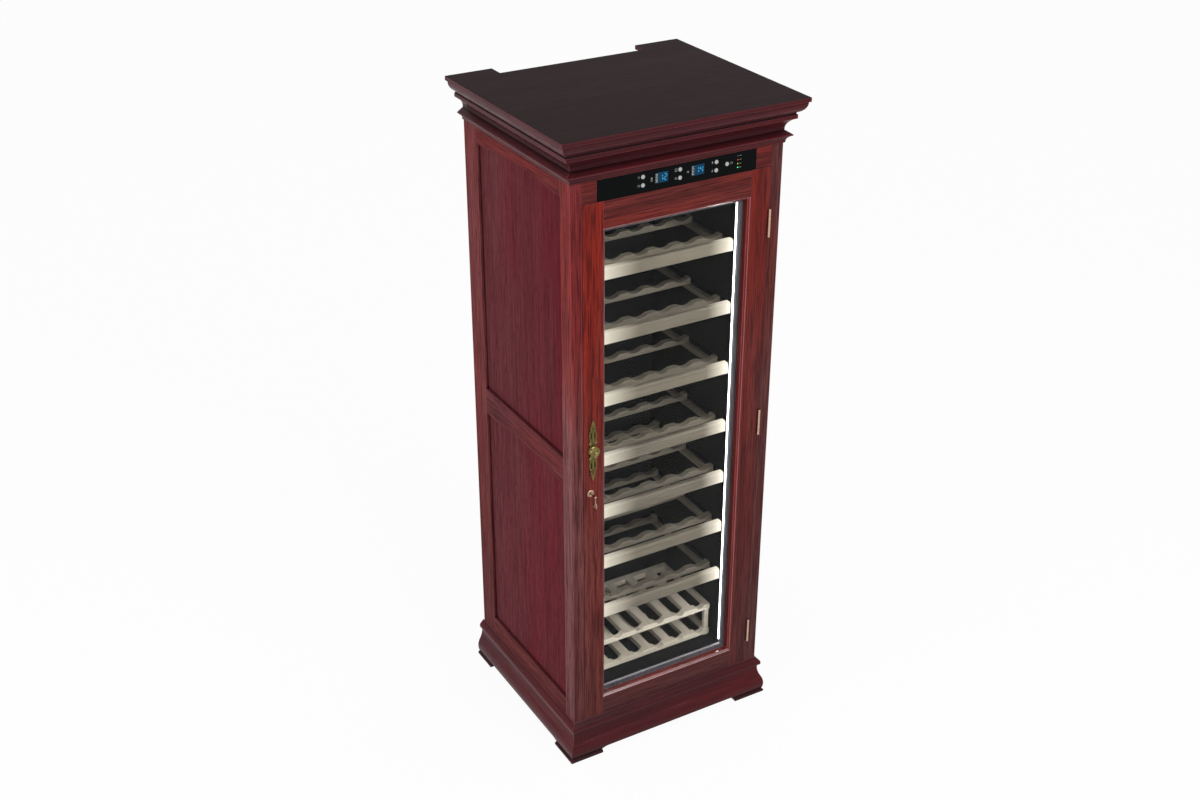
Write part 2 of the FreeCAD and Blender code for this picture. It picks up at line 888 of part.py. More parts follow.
def plinth():
    outline = [
        ("0", "plinth_top"), ("lip_reach", "lip_foot", "bead_swell"), ("bead_reach", "bead_foot"),
        ("throat_reach", "throat_top"), ("throat_reach", "throat_foot", "-throat_hollow"),
        ("swell_start_reach", "swell_start", "swell_bulge"), ("swell_foot_reach", "swell_foot"),
        ("base_reach", "base_fillet"), ("base_reach", "0"), ("-plinth_inner", "0"),
        ("-plinth_inner", "plinth_ledge"), ("0", "plinth_ledge"),
    ]
    front, right = moulding(
        "plinth", outline, "0", "plinth_top", "plinth_inner", "base_reach + 1", "plinth_back_y")
    half = "half_width + base_reach - front_foot_width"
    deep = ("front_y - base_reach - 1", "front_y + plinth_inner + 1")
    pocket(front, "XZ", *deep, [foot_arch(f"-({half})", half)])
    across = ("half_width - plinth_inner - 1", "half_width + base_reach + 1")
    pocket(right, "YZ", *across, [foot_arch(
        "front_y - base_reach + side_foot_front", "plinth_back_y - side_foot_rear")])
    keep(group("plinth", [front, right, mirrored("plinth_left", right)]), "plinth_moulding")

    inner = "half_width - plinth_inner"
    parts = [padded("plinth_rear_board", "XZ", "back_y - plinth_inner", "back_y", [[
        (f"-({inner})", "0"), (f"corner_block - ({inner})", "0"), (f"corner_block - ({inner})", "arch_rise"),
        (f"{inner} - corner_block", "arch_rise"), (f"{inner} - corner_block", "0"), (inner, "0"),
        (inner, "plinth_ledge"), (f"-({inner})", "plinth_ledge")]])]
    up = ("corner_block_lift", "floor_board_foot")
    rows = {
        "front": ("front_y + plinth_inner", "front_y + plinth_inner + corner_block"),
        "rear": ("back_y - plinth_inner - corner_block", "back_y - plinth_inner"),
    }
    for row_name, deep in rows.items():
        block = board(f"corner_block_{row_name}", (f"{inner} - corner_block", inner), deep, up)
        parts += [block, mirrored(f"corner_block_{row_name}_left", block)]
    keep(group("plinth_rear", parts), "plinth_blocks")


# Case carcass

def case_boards():
    deep = ("front_y + plinth_inner", "back_y - plinth_inner")
    floor = board("floor_board", ("-frame_inner", "frame_inner"), deep, ("floor_board_foot", "plinth_ledge"))
    roof = padded("roof_board", "XY", "roof_board_foot", "board_foot", [[
        ("-post_inner", "rail_back"), ("post_inner", "rail_back"), ("post_inner", "bay_front"),
        ("frame_inner", "bay_front"), ("frame_inner", "foam_back"), ("-frame_inner", "foam_back"),
        ("-frame_inner", "bay_front"), ("-post_inner", "bay_front")]])
    keep(group("case_board_pair", [floor, roof]), "case_boards")


def hinge_levels():
    return ("hinge_low", "hinge_mid", "hinge_high")


def hinge_span(level):
    return f"{level} - hinge_length / 2", f"{level} + hinge_length / 2"


def front_posts():
    groove = rectangle("panel_in - groove_play", "panel_out + groove_play",
                       "bay_front - groove_depth - groove_play", "bay_front + 1")
    posts = []
    for name in ("right_post", "left_post"):
        body = padded(name, "XY", "plinth_ledge", "board_foot",
                      [rectangle("post_inner", "half_width", "front_y", "bay_front")])
        pocket(body, "XY", "plinth_ledge - 1", "board_foot + 1", [groove])
        posts.append(body)
    right, left = posts
    for level in hinge_levels():
        foot, head = hinge_span(level)
        pocket(right, "YZ", "post_inner - 1", "post_inner + leaf_thick",
               [rectangle("front_y - 1", "front_y + leaf_depth + groove_play", foot, head)])
    plate_outline = rectangle("strike_front", "strike_front + strike_width",
                              "lock_level - strike_height / 2", "lock_level + strike_height / 2")
    mortise = rectangle("cam_front - cam_play", "cam_back + cam_play",
                        "lock_level - cam_length", "lock_level + cam_half * 2")
    pocket(left, "YZ", "post_inner - 1", "post_inner + strike_thick", [plate_outline])
    pocket(left, "YZ", "post_inner - 1", "post_inner + cam_length / 2", [mortise])
    keep(group("post_pair", [right, mirrored("left_post_turned", left)]), "front_posts")

    plate = padded("strike", "YZ", "post_inner", "post_inner + strike_thick", [plate_outline])
    pocket(plate, "YZ", "post_inner - 1", "post_inner + strike_thick + 1", [mortise])
    keep(mirrored("strike_left", plate), "strike_plate")


def side_frames():
    tongue_front = "bay_front - groove_depth"
    tongue_back = "bay_back + groove_depth"
    slot = ("panel_in - groove_play", "panel_out + groove_play")

    stile = padded("rear_stile_right", "XY", "plinth_ledge", "board_foot",
                   [rectangle("frame_inner", "half_width", "bay_back", "back_y")])
    pocket(stile, "XY", "plinth_ledge - 1", "board_foot + 1",
           [rectangle(*slot, "bay_back - 1", "bay_back + groove_depth + groove_play")])
    keep(group("rear_stile_pair", [stile, mirrored("rear_stile_left", stile)]), "rear_stiles")

    def arched(foot, head):
        """Rail outline with a shallow arch along its lower edge."""
        risen = f"{foot} + rail_ease_rise"
        return [
            ("bay_front", foot), ("bay_front + rail_shoulder", foot, "-rail_ease_bow"),
            ("bay_front + rail_shoulder + rail_ease", risen, "rail_arch_rise"),
            ("bay_back - rail_shoulder - rail_ease", risen, "-rail_ease_bow"),
            ("bay_back - rail_shoulder", foot), ("bay_back", foot), ("bay_back", head), ("bay_front", head),
        ]

    def rail(name, outline, foot, head, groove_foot, groove_head):
        """Rail with a tongue at each end and a groove for the panel along each moulded edge."""
        body = padded(name, "YZ", "frame_inner", "half_width", [outline])
        solid_foot = groove_foot or foot
        solid_head = groove_head or head
        pad(body, "YZ", "panel_in", "panel_out",
            [rectangle(tongue_front, tongue_back, solid_foot, solid_head)])
        if groove_foot:
            pocket(body, "YZ", *slot, [rectangle(
                f"{tongue_front} - 1", f"{tongue_back} + 1", f"{foot} - 1", groove_foot)])
        if groove_head:
            pocket(body, "YZ", *slot, [rectangle(
                f"{tongue_front} - 1", f"{tongue_back} + 1", groove_head, f"{head} + 1")])
        return body

    arch_top = "rail_ease_rise + rail_arch_rise"
    top_foot = "board_foot - top_side_rail"
    top_groove = f"{top_foot} + {arch_top} + groove_depth"
    mid_groove = f"mid_side_rail_foot + {arch_top} + groove_depth"
    mid_slot = "mid_side_rail_top - groove_depth"
    low_slot = "low_side_rail_top - groove_depth"
    rails = [
        rail("top_rail_right", arched(top_foot, "board_foot"), top_foot, "board_foot", top_groove, None),
        rail("mid_rail_right", arched("mid_side_rail_foot", "mid_side_rail_top"),
             "mid_side_rail_foot", "mid_side_rail_top", mid_groove, mid_slot),
        rail("low_rail_right", rectangle("bay_front", "bay_back", "plinth_ledge", "low_side_rail_top"),
             "plinth_ledge", "low_side_rail_top", None, low_slot),
    ]
    rails += [mirrored(part.Name + "_left", part) for part in rails]
    keep(group("rail_set", rails), "side_rails")

    deep = (f"{tongue_front} + groove_play", f"{tongue_back} - groove_play")
    panels = [
        board("panel_high", ("panel_in", "panel_out"), deep,
              (f"{mid_slot} + groove_play", f"{top_groove} - groove_play")),
        board("panel_low", ("panel_in", "panel_out"), deep,
              (f"{low_slot} + groove_play", f"{mid_groove} - groove_play")),
    ]
    panels += [mirrored(part.Name + "_left", part) for part in panels]
    keep(group("panel_set", panels), "side_panels")


def face_rails():
    body = padded("head_rail", "XZ", "front_y", "rail_back",
                  [rectangle("-post_inner", "post_inner", "fascia_foot", "board_foot")])
    pocket(body, "XZ", "front_y - 1", "fascia_back",
           [rectangle("-fascia_left", "fascia_right", "fascia_foot - 1", "neck_foot")])
    pocket(body, "XZ", "front_y - 1", "rail_back + 1",
           [rectangle("-control_slot_left", "control_slot_right", "fascia_foot + control_slot_margin",
                      "neck_foot - control_slot_margin / 2")])
    threshold = board("threshold", ("-post_inner", "post_inner"), ("front_y", "front_y + threshold_depth"),
                      ("plinth_ledge", "threshold_top"))
    keep(group("face_rail_pair", [body, threshold]), "face_rails")


# Insulated body

def step_outline(grow):
    """Cabin outline seen from the side, with the step over the machine bay."""
    return [
        ("flange_front - 1", f"liner_floor - ({grow})"),
        (f"step_back + ({grow})", f"liner_floor - ({grow})"),
        (f"step_back + ({grow})", f"step_height - ({grow})"),
        (f"liner_back + ({grow})", f"step_height - ({grow})"),
        (f"liner_back + ({grow})", f"liner_top + ({grow})"), ("flange_front - 1", f"liner_top + ({grow})"),
    ]


def insulated_body():
    outer = [
        ("foam_front", "plinth_ledge"), ("niche_front", "plinth_ledge"),
        ("niche_front", "niche_height"), ("foam_back", "niche_height"),
        ("foam_back", "foam_top"), ("foam_front", "foam_top"),
    ]
    foam = padded("foam", "YZ", "-foam_half", "foam_half", [outer])
    hollow = "liner_half + liner_wall"
    pocket(foam, "YZ", f"-({hollow})", hollow, [step_outline("liner_wall")])
    keep(foam, "insulation")

    liner = padded("liner", "XZ", "flange_front", "foam_front",
                   [rectangle("-foam_half", "foam_half", "plinth_ledge", "foam_top")])
    shell = step_outline("liner_wall")
    shell[0] = ("foam_front", shell[0][1])
    shell[-1] = ("foam_front", shell[-1][1])
    pad(liner, "YZ", f"-({hollow})", hollow, [shell])
    pocket(liner, "YZ", "-liner_half", "liner_half", [step_outline("0")])
    keep(liner, "inner_liner")
    keep(board("rear_sheet", ("-foam_half", "foam_half"), ("foam_back", "sheet_back"),
               ("niche_height", "roof_board_foot")), "back_sheet")


def led_strips():
    """Aluminium channel with a diffuser on each side wall of the cabin front."""
    low, high = "liner_floor + led_end_gap", "liner_top - led_end_gap"
    face = "liner_half - led_thick"
    front = "front_y + led_front"
    back = f"{front} + led_width"
    channel = padded("led_channel", "XY", low, high, [[
        (face, front), ("liner_half", front), ("liner_half", back), (face, back),
        (face, f"{back} - led_wall"), ("liner_half - led_wall", f"{back} - led_wall"),
        ("liner_half - led_wall", f"{front} + led_wall"), (face, f"{front} + led_wall")]])
    diffuser = padded("led_diffuser", "XY", low, high, [[
        (f"{face} + led_wall", f"{front} + led_wall"), ("liner_half - led_wall * 2", f"{front} + led_wall"),
        ("liner_half - led_wall * 2", f"{back} - led_wall"),
        (f"{face} + led_wall", f"{back} - led_wall", "-led_wall")]])
    parts = [channel, diffuser]
    parts += [mirrored(part.Name + "_left", part) for part in (channel, diffuser)]
    keep(group("led_pair", parts), "led_strips")


# Shelves and their runners

def shelf_levels():
    """Top of each shelf strip, from the highest shelf down, in two rows of equal steps."""
    upper = [f"shelf_top - {i} * upper_pitch" for i in range(4)]
    lower = [f"shelf_top - 3 * upper_pitch - {i} * lower_pitch" for i in range(1, 4)]
    return upper + lower


def cradle_outline(foot):
    """Cross slat with a scallop for each bottle along its upper edge."""
    head = f"({foot}) + cradle_height"
    half = "shelf_half"
    reach = "sqrt(2 * bottle_radius * scallop_depth - scallop_depth ^ 2)"
    points = [(f"-({half})", foot), (half, foot), (half, head)]
    bottles = count("bottle_count")
    for i in range(bottles):
        middle = f"({(bottles - 1) / 2 - i}) * bottle_pitch"
        points.append((f"{middle} + {reach}", head, "scallop_depth"))
        points.append((f"{middle} - {reach}", head))
    points.append((f"-({half})", head))
    return points


def shelves():
    runners = []
    for i, level in enumerate(shelf_levels(), start=1):
        foot = f"({level}) - shelf_strip_height"
        strip = padded(f"shelf_{i}_strip", "YZ", "-shelf_half", "shelf_half", [[
            ("front_y + shelf_front", foot), ("shelf_strip_back", foot), ("shelf_strip_back", level),
            ("front_y + shelf_front + shelf_round", level, "shelf_round / 3"),
            ("front_y + shelf_front", f"{level} - shelf_round")]])
        rail = board(f"shelf_{i}_rail", ("shelf_half - shelf_rail_width", "shelf_half"),
                     ("shelf_strip_back", "shelf_back"), (foot, f"{foot} + shelf_rail_height"))
        parts = [strip, rail, mirrored(f"shelf_{i}_rail_left", rail)]
        for k in range(3):
            start = f"shelf_strip_back + cradle_first + {k} * cradle_pitch"
            parts.append(padded(f"shelf_{i}_cradle_{k + 1}", "XZ", start, f"{start} + cradle_thick",
                                [cradle_outline(f"{foot} + shelf_rail_height")]))
        keep(group(f"shelf_{i}_parts", parts), f"shelf_{i}")

        floor = f"{foot} - runner_play"
        deep = ("front_y + runner_start", "runner_back")
        runner = padded(f"runner_{i}", "XZ", *deep, [[
            ("shelf_half - runner_ledge", f"{floor} - runner_floor"),
            ("liner_half", f"{floor} - runner_floor"),
            ("liner_half", f"{floor} + runner_height"), ("runner_x", f"{floor} + runner_height"),
            ("runner_x", floor), ("shelf_half - runner_ledge", floor)]])
        runners += [runner, mirrored(f"runner_{i}_left", runner)]
    keep(group("runner_set", runners), "shelf_runners")


def bottle_rack():
    """Two slatted tiers for bottles lying neck forwards, held apart by four posts."""
    front = "front_y + rack_front"
    back = "rack_back"
    parts = []
    bottles = count("bottle_count")
    middles = [f"({i - (bottles - 1) / 2}) * rack_pitch" for i in range(bottles)]
    for name, top in (("low_tier", "low_tier_top"), ("high_tier", "high_tier_top")):
        loops = [rectangle("-rack_half", "rack_half", front, back)]
        for middle in middles:
            loops.append(rectangle(f"{middle} - rack_opening / 2", f"{middle} + rack_opening / 2",
                                   f"{front} + rack_bar", f"{back} - rack_bar"))
        body = padded(name, "XY", f"{top} - tier_thick", top, loops)
        for middle in middles:
            pocket(body, "XZ", f"{front} - 1", f"{front} + rack_bar + 1",
                   circles=[(middle, f"{top} + neck_radius - neck_notch", "neck_radius")])
        parts.append(body)
    spans = (("foot", "liner_floor", "low_tier_top - tier_thick"),
             ("post", "low_tier_top", "high_tier_top - tier_thick"))
    for name, low, high in spans:
        for row_name, start in (("front", f"{front} + rack_post_inset"),
                                ("rear", f"{back} - rack_post_inset - rack_post")):
            post = board(f"rack_{name}_{row_name}", ("rack_post_side", "rack_post_side + rack_post"),
                         (start, f"{start} + rack_post"), (low, high))
            parts += [post, mirrored(f"rack_{name}_{row_name}_left", post)]
    keep(group("rack_parts", parts), "bottle_rack")


# Air duct with fans and evaporator

def air_duct():
    duct = padded("duct", "XZ", "duct_front", "liner_back",
                  [rectangle("-duct_half", "duct_half", "duct_foot", "duct_top")])
    pocket(duct, "XZ", "duct_front + duct_wall", "liner_back + 1",
           [rectangle("duct_wall - duct_half", "duct_half - duct_wall", "duct_foot + duct_wall",
                      "duct_top - duct_wall")])
    for level in ("fan_low", "fan_high"):
        sketch = new_sketch(duct, "XZ", "duct_front - 1")
        bind(sketch, "AttachmentOffset.Base.y", level)
        half = "180 / grille_count - grille_spoke_angle / 2"
        corners = []
        rim = (("grille_inner", -1), ("grille_outer", -1), ("grille_outer", 1), ("grille_inner", 1))
        for radius, side in rim:
            corners.append((f"{radius} * cos(({half}) * 1deg)", f"{side} * {radius} * sin(({half}) * 1deg)"))
        corners[1] += (f"-grille_outer * (1 - cos(({half}) * 1deg))",)
        draw_loop(sketch, corners)
        slot = duct.newObject("PartDesign::Pocket", "grille_slot")
        slot.Profile = sketch
        bind(slot, "Length", "duct_wall + 2")
        ring = duct.newObject("PartDesign::PolarPattern", "grille_ring")
        ring.Originals = [slot]
        ring.Axis = (sketch, ["N_Axis"])
        ring.Angle = 360
        ring.Occurrences = count("grille_count")
        duct.Tip = ring
    keep(duct, "air_duct_cover")

    fins = []
    step = "(evaporator_half * 2 - evaporator_fin_thick) / (evaporator_fin_count - 1)"
    plate_y = "liner_back - evaporator_plate"
    fin_y = f"{plate_y} - evaporator_fin"
    for i in range(count("evaporator_fin_count")):
        low = f"{i} * {step} - evaporator_half"
        high = f"{low} + evaporator_fin_thick"
        fins += [(high, fin_y), (high, plate_y)] if i == 0 else [
            (low, plate_y), (low, fin_y), (high, fin_y), (high, plate_y)]
    fins = fins[:-1]
    outline = [("-evaporator_half", "liner_back"), ("-evaporator_half", fin_y)] + fins + [
        ("evaporator_half", "liner_back")]
    keep(padded("evaporator_plate", "XY", "evaporator_foot", "evaporator_top", [outline]), "evaporator")


def fans():
    """Two rotors of pitched blades on a bored hub, each on the spindle of its motor."""
    hub_radius = number("hub_radius")
    hub_depth = number("hub_depth")
    chord = number("blade_chord")
    thick = number("blade_thick")
    root = hub_radius - number("blade_root")
    reach = number("fan_radius - blade_tip_gap") - root
    blade_total = count("blade_count")
    motors = []
    for name in ("fan_low", "fan_high"):
        hub = Part.makeCylinder(hub_radius, hub_depth)
        blade = Part.makeBox(reach, chord, thick, Vector(0, -chord / 2, -thick / 2))
        blade.rotate(Vector(0, 0, 0), Vector(1, 0, 0), number("blade_pitch_angle"))
        blade.translate(Vector(root, 0, hub_depth / 2))
        for i in range(blade_total):
            turned_blade = blade.copy()
            turned_blade.rotate(Vector(0, 0, 0), Vector(0, 0, 1), 360 * i / blade_total)
            hub = hub.fuse(turned_blade)
        bore = Part.makeCylinder(number("shaft_radius + shaft_play"), hub_depth)
        rotor = shaped(name + "_rotor", hub.cut(bore).removeSplitter())
        rotor.Placement = FreeCAD.Placement(
            Vector(0, number("liner_back - fan_back_gap"), number(name)),
            FreeCAD.Rotation(Vector(1, 0, 0), 90))
        keep(rotor, name + "_rotor")
        gap = "fan_back_gap - motor_gap"
        body = rod(name + "_motor_body", ("0", f"liner_back - ({gap})", name), "motor_radius", gap, along="y")
        spindle = rod(name + "_spindle", ("0", "liner_back - fan_back_gap - hub_depth + spindle_sink", name),
                      "shaft_radius", "hub_depth + fan_back_gap - spindle_sink", along="y")
        motors.append(fused(name + "_motor", [body, spindle]))
    keep(group("motor_pair", motors), "fan_motors")


# Cooling machine at the back

def machine_bay():
    centre_x = "-compressor_side"
    deep = ("niche_front + machine_plate_margin", "back_y - plinth_inner - machine_plate_margin / 2")
    plate = board("machine_plate", ("-machine_plate_half", "machine_plate_half - compressor_side"), deep,
                  ("plinth_ledge", "machine_floor"))
    parts = [plate]
    for side in (-1, 1):
        for reach in (-1, 1):
            spot = (f"{centre_x} + {side} * grommet_side", f"compressor_y + {reach} * grommet_reach")
            name = f"grommet_{side + 1}{reach + 1}"
            parts.append(rod(name, (*spot, "machine_floor"), "grommet_radius", "grommet_height"))
    keep(group("machine_mounts", parts), "compressor_mounts")

    shell_foot = "compressor_foot_thick"
    middle = "compressor_foot_thick + compressor_height / 2"
    rim = "compressor_radius + compressor_seam"
    top = "compressor_foot_thick + compressor_height"
    profile = [
        ("0", shell_foot), ("compressor_radius", shell_foot),
        ("compressor_radius", f"{middle} - compressor_seam"), (rim, f"{middle} - compressor_seam"),
        (rim, f"{middle} + compressor_seam"), ("compressor_radius", f"{middle} + compressor_seam"),
        ("compressor_radius", f"{top} - compressor_shoulder_drop"),
        ("compressor_dome_radius", f"{top} - compressor_dome_drop"),
        ("compressor_cap_radius", top), ("0", top),
    ]
    shell = turned("compressor_shell", (centre_x, "compressor_y", "compressor_foot"), profile, turn=0)
    half = "(grommet_side + grommet_radius)"
    reach = "(grommet_reach + grommet_radius)"
    foot = board("compressor_base", (f"{centre_x} - {half}", f"{centre_x} + {half}"),
                 (f"compressor_y - {reach}", f"compressor_y + {reach}"),
                 ("compressor_foot", "compressor_foot + compressor_foot_thick"))
    box_low = "compressor_foot + compressor_foot_thick + terminal_lift"
    side_x = f"{centre_x} + compressor_radius"
    cover = padded("terminal_cover", "XY", box_low, f"{box_low} + terminal_height", [rectangle(
        f"{side_x} + compressor_seam", f"{side_x} + compressor_seam + terminal_depth",
        "compressor_y - terminal_width / 2", "compressor_y + terminal_width / 2")])
    pad(cover, "XY", box_low, f"{box_low} + terminal_height - compressor_seam * 2", [rectangle(
        f"{side_x} - compressor_seam", f"{side_x} + compressor_seam",
        "compressor_y - compressor_seam", "compressor_y + compressor_seam")])

    def outer_upright(edge):
        box = edge.BoundBox
        upright = box.ZLength > number("terminal_height") - 1
        return upright and box.XMin > number(f"{side_x} + terminal_depth / 2")

    round_edges(cover, "terminal_round", outer_upright)
    welded = fused("compressor_welded", [shell, foot, cover])
    keep(welded, "compressor")

    pan_foot = "compressor_foot + compressor_foot_thick + compressor_height"
    deep = ("compressor_y - pan_depth / 2", "compressor_y + pan_depth / 2")
    pan = padded("pan", "XY", pan_foot, f"{pan_foot} + pan_height",
                 [rectangle(f"{centre_x} - pan_half", f"{centre_x} + pan_half", *deep)])
    pocket(pan, "XY", f"{pan_foot} + pan_wall", f"{pan_foot} + pan_height + 1",
           [rectangle(f"{centre_x} - pan_half + pan_wall", f"{centre_x} + pan_half - pan_wall",
                      f"{deep[0]} + pan_wall", f"{deep[1]} - pan_wall")])
    keep(pan, "drain_pan")


def condenser():
    """Serpentine tube clipped to the back sheet, with upright wires welded across its passes."""
    half = number("condenser_half")
    y = number("condenser_y")
    foot = number("condenser_foot")
    pitch = number("condenser_pitch")
    radius = number("condenser_tube_radius")
    passes = count("condenser_passes")
    points = []
    for i in range(passes):
        ends = (-half, half) if i % 2 == 0 else (half, -half)
        points += [Vector(ends[0], y, foot + i * pitch), Vector(ends[1], y, foot + i * pitch)]
    tube = shaped("condenser_tube", pipe(points, radius, number("condenser_bend")))
    parts = [tube]
    wires = count("wire_count")
    low = "condenser_foot - wire_margin"
    high = "condenser_head + wire_margin"
    for i in range(wires):
        across = f"(condenser_half - wire_inset) * {2 * i / (wires - 1) - 1}"
        spot = (across, "condenser_y + condenser_tube_radius + wire_radius + shaft_play", low)
        parts.append(faceted_rod(f"wire_{i + 1}", spot, "wire_radius", f"{high} - ({low})"))
    for side_name, side in (("left", "-1"), ("right", "1")):
        for level_name, step in (("low", 1), ("high", passes - 2)):
            middle = f"{side} * (condenser_half - clip_inset)"
            level = f"condenser_foot + {step} * condenser_pitch"
            across = (f"{middle} - clip_width / 2", f"{middle} + clip_width / 2")
            block = board(f"clip_{level_name}_{side_name}_block", across,
                          ("sheet_back", "condenser_y + clip_lap"),
                          (f"{level} - clip_height / 2", f"{level} + clip_height / 2"))
            start = (f"{middle} - clip_width", "condenser_y", level)
            hole = rod(f"clip_{level_name}_{side_name}_hole", start,
                       "condenser_tube_radius + shaft_play", "clip_width * 2", along="x")
            parts.append(cut(f"clip_{level_name}_{side_name}", block, hole))
    keep(group("condenser_parts", parts), "condenser")


def refrigerant_pipes():
    """Lines that join the compressor, the condenser, the filter drier and the cabin."""
    radius = number("pipe_radius")
    lane = number("condenser_y")
    side = number("pipe_side")
    end_x = -number("condenser_half")
    drop_x = end_x - number("liquid_line_gap")
    foot = number("condenser_foot")
    head = number("condenser_head")
    rise = number("pipe_crest")
    shell_x = -number("compressor_side")
    shell_y = number("compressor_y")
    shell_radius = number("compressor_radius")
    hot_level = number("compressor_foot + hot_port_height")
    cold_level = number("compressor_foot + cold_port_height")
    niche_y = number("niche_front")
    bend = number("pipe_bend")
    discharge = [
        Vector(shell_x - shell_radius, shell_y, hot_level), Vector(-side, shell_y, hot_level),
        Vector(-side, lane, hot_level + rise), Vector(-side, lane, head + rise),
        Vector(drop_x, lane, head + rise), Vector(drop_x, lane, head), Vector(end_x, lane, head),
    ]
    drier_head = foot - number("drier_drop")
    drier_length = number("drier_length")
    liquid = [Vector(end_x, lane, foot), Vector(drop_x, lane, foot), Vector(drop_x, lane, drier_head)]
    drier_foot = Vector(drop_x, lane, drier_head - drier_length)
    low = Vector(0, 0, -rise)
    capillary = [drier_foot, drier_foot + low, Vector(drop_x, niche_y, drier_foot.z - rise)]
    step = (shell_y - shell_radius - niche_y) / 2
    suction = [
        Vector(shell_x, niche_y, cold_level + rise), Vector(shell_x, niche_y + step, cold_level + rise),
        Vector(shell_x, niche_y + step, cold_level), Vector(shell_x, niche_y + 2 * step, cold_level),
    ]
    parts = [
        shaped("discharge_line", pipe(discharge, radius, bend)),
        shaped("liquid_line", pipe(liquid, radius, bend)),
        shaped("filter_drier", Part.makeCylinder(number("drier_radius"), drier_length, drier_foot)),
        shaped("capillary", pipe(capillary, number("capillary_radius"), bend)),
        shaped("suction_line", pipe(suction, radius, number("suction_bend"))),
    ]
    keep(group("pipe_set", parts), "refrigerant_pipes")


def power_inlet():
    """Appliance inlet on the back sheet, with three flat pins in its well."""
    level = "niche_height + inlet_lift"
    across = ("inlet_side - inlet_width / 2", "inlet_side + inlet_width / 2")
    up = (f"{level} - inlet_height / 2", f"{level} + inlet_height / 2")
    body = padded("inlet", "XZ", "sheet_back", "sheet_back + inlet_depth", [rectangle(*across, *up)])
    well = rectangle(f"{across[0]} + inlet_wall", f"{across[1]} - inlet_wall",
                     f"{up[0]} + inlet_wall", f"{up[1]} - inlet_wall")
    pocket(body, "XZ", "sheet_back + inlet_wall", "sheet_back + inlet_depth + 1", [well])
    for i in (-1, 0, 1):
        middle = f"inlet_side + {i} * pin_pitch"
        rise = f"{level} + {1 - abs(i)} * pin_rise"
        pad(body, "XZ", "sheet_back + inlet_wall", "sheet_back + inlet_depth - inlet_wall", [rectangle(
            f"{middle} - pin_width / 2", f"{middle} + pin_width / 2",
            f"{rise} - pin_height / 2", f"{rise} + pin_height / 2")])
    keep(body, "power_inlet")


# Control panel

def button_spots():
    """Middle of each button as (name, across, up)."""
    spots = []
    for column_name, column in (("left", -1), ("middle", 0), ("right", 1)):
        across = f"{column} * button_column_pitch"
        spots.append((f"button_{column_name}_up", across, "control_line + button_row_gap / 2"))
        spots.append((f"button_{column_name}_down", across, "control_line - button_row_gap / 2"))
    spots.append(("button_power", "power_button_side", "control_line"))
    return spots


def light_spots():
    return [("light_side", f"control_line + {1.5 - i} * light_pitch") for i in range(4)]


def display_spans():
    spans = []
    for side in ("-1", "1"):
        middle = f"{side} * display_side"
        spans.append((f"{middle} - display_width / 2", f"{middle} + display_width / 2",
                      "control_line - display_height / 2", "control_line + display_height / 2"))
    return spans


def control_panel():
    body = padded("fascia_plate", "XZ", "front_y", "fascia_back",
                  [rectangle("-fascia_left", "fascia_right", "fascia_foot", "neck_foot")])
    holes = [(across, up, "button_radius + button_play") for _, across, up in button_spots()]
    holes += [(across, up, "light_radius") for across, up in light_spots()]
    pocket(body, "XZ", "front_y - 1", "fascia_back + 1",
           [rectangle(*span) for span in display_spans()], holes)
    keep(body, "fascia")

    parts = []
    for i, (left, right, low, high) in enumerate(display_spans()):
        deep = ("front_y + button_play", "front_y + display_depth")
        parts.append(board(f"display_{i + 1}", (left, right), deep, (low, high)))
    for i, (across, up) in enumerate(light_spots()):
        parts.append(rod(f"light_pipe_{i + 1}", (across, "front_y + button_play / 2", up), "light_radius",
                         "board_front - front_y - button_play / 2", along="y"))
    keep(group("display_set", parts), "displays")

    for name, across, up in button_spots():
        lip = "button_radius + button_flange_lip"
        flange = "-fascia_thick - runner_play"
        points = [
            ("0", f"{flange} - button_flange"), (lip, f"{flange} - button_flange"), (lip, flange),
            ("button_radius", flange), ("button_radius", "button_proud - button_round"),
            ("button_radius - button_round", "button_proud"), ("0", "button_proud"),
        ]
        keep(turned(name + "_cap", (across, "front_y", up), points), name)

    box_low, box_high = "control_line - control_box_below", "control_line + control_box_above"
    box_x = ("-control_slot_left - control_box_lap", "control_slot_right + control_box_lap")
    housing = padded("control_housing", "XZ", "rail_back", "rail_back + control_box_depth",
                     [rectangle(*box_x, box_low, box_high)])
    pocket(housing, "XZ", "rail_back - 1", "rail_back + control_box_depth - control_box_wall", [rectangle(
        f"{box_x[0]} + control_box_wall", f"{box_x[1]} - control_box_wall",
        f"{box_low} + control_box_wall", f"{box_high} - control_box_wall")])
    parts = [housing]
    board_back = "board_front + board_thick"
    circuit = padded("circuit_board", "XZ", "board_front", board_back, [rectangle(
        "board_margin - control_slot_left", "control_slot_right - board_margin",
        "control_line - board_below", "control_line + board_above")])
    for name, across, up in button_spots():
        pad(circuit, "XZ", "board_front - switch_depth", board_back, [rectangle(
            f"{across} - switch_size / 2", f"{across} + switch_size / 2",
            f"{up} - switch_size / 2", f"{up} + switch_size / 2")])
    for column in (-1, 1):
        across = f"{column} * (control_slot_left - board_post_inset)"
        pad(circuit, "XZ", "board_front", "rail_back + control_box_depth - control_box_wall",
            circles=[(across, "control_line", "board_post_radius")])
    parts.append(circuit)
    keep(group("control_parts", parts), "control_box")


# Door

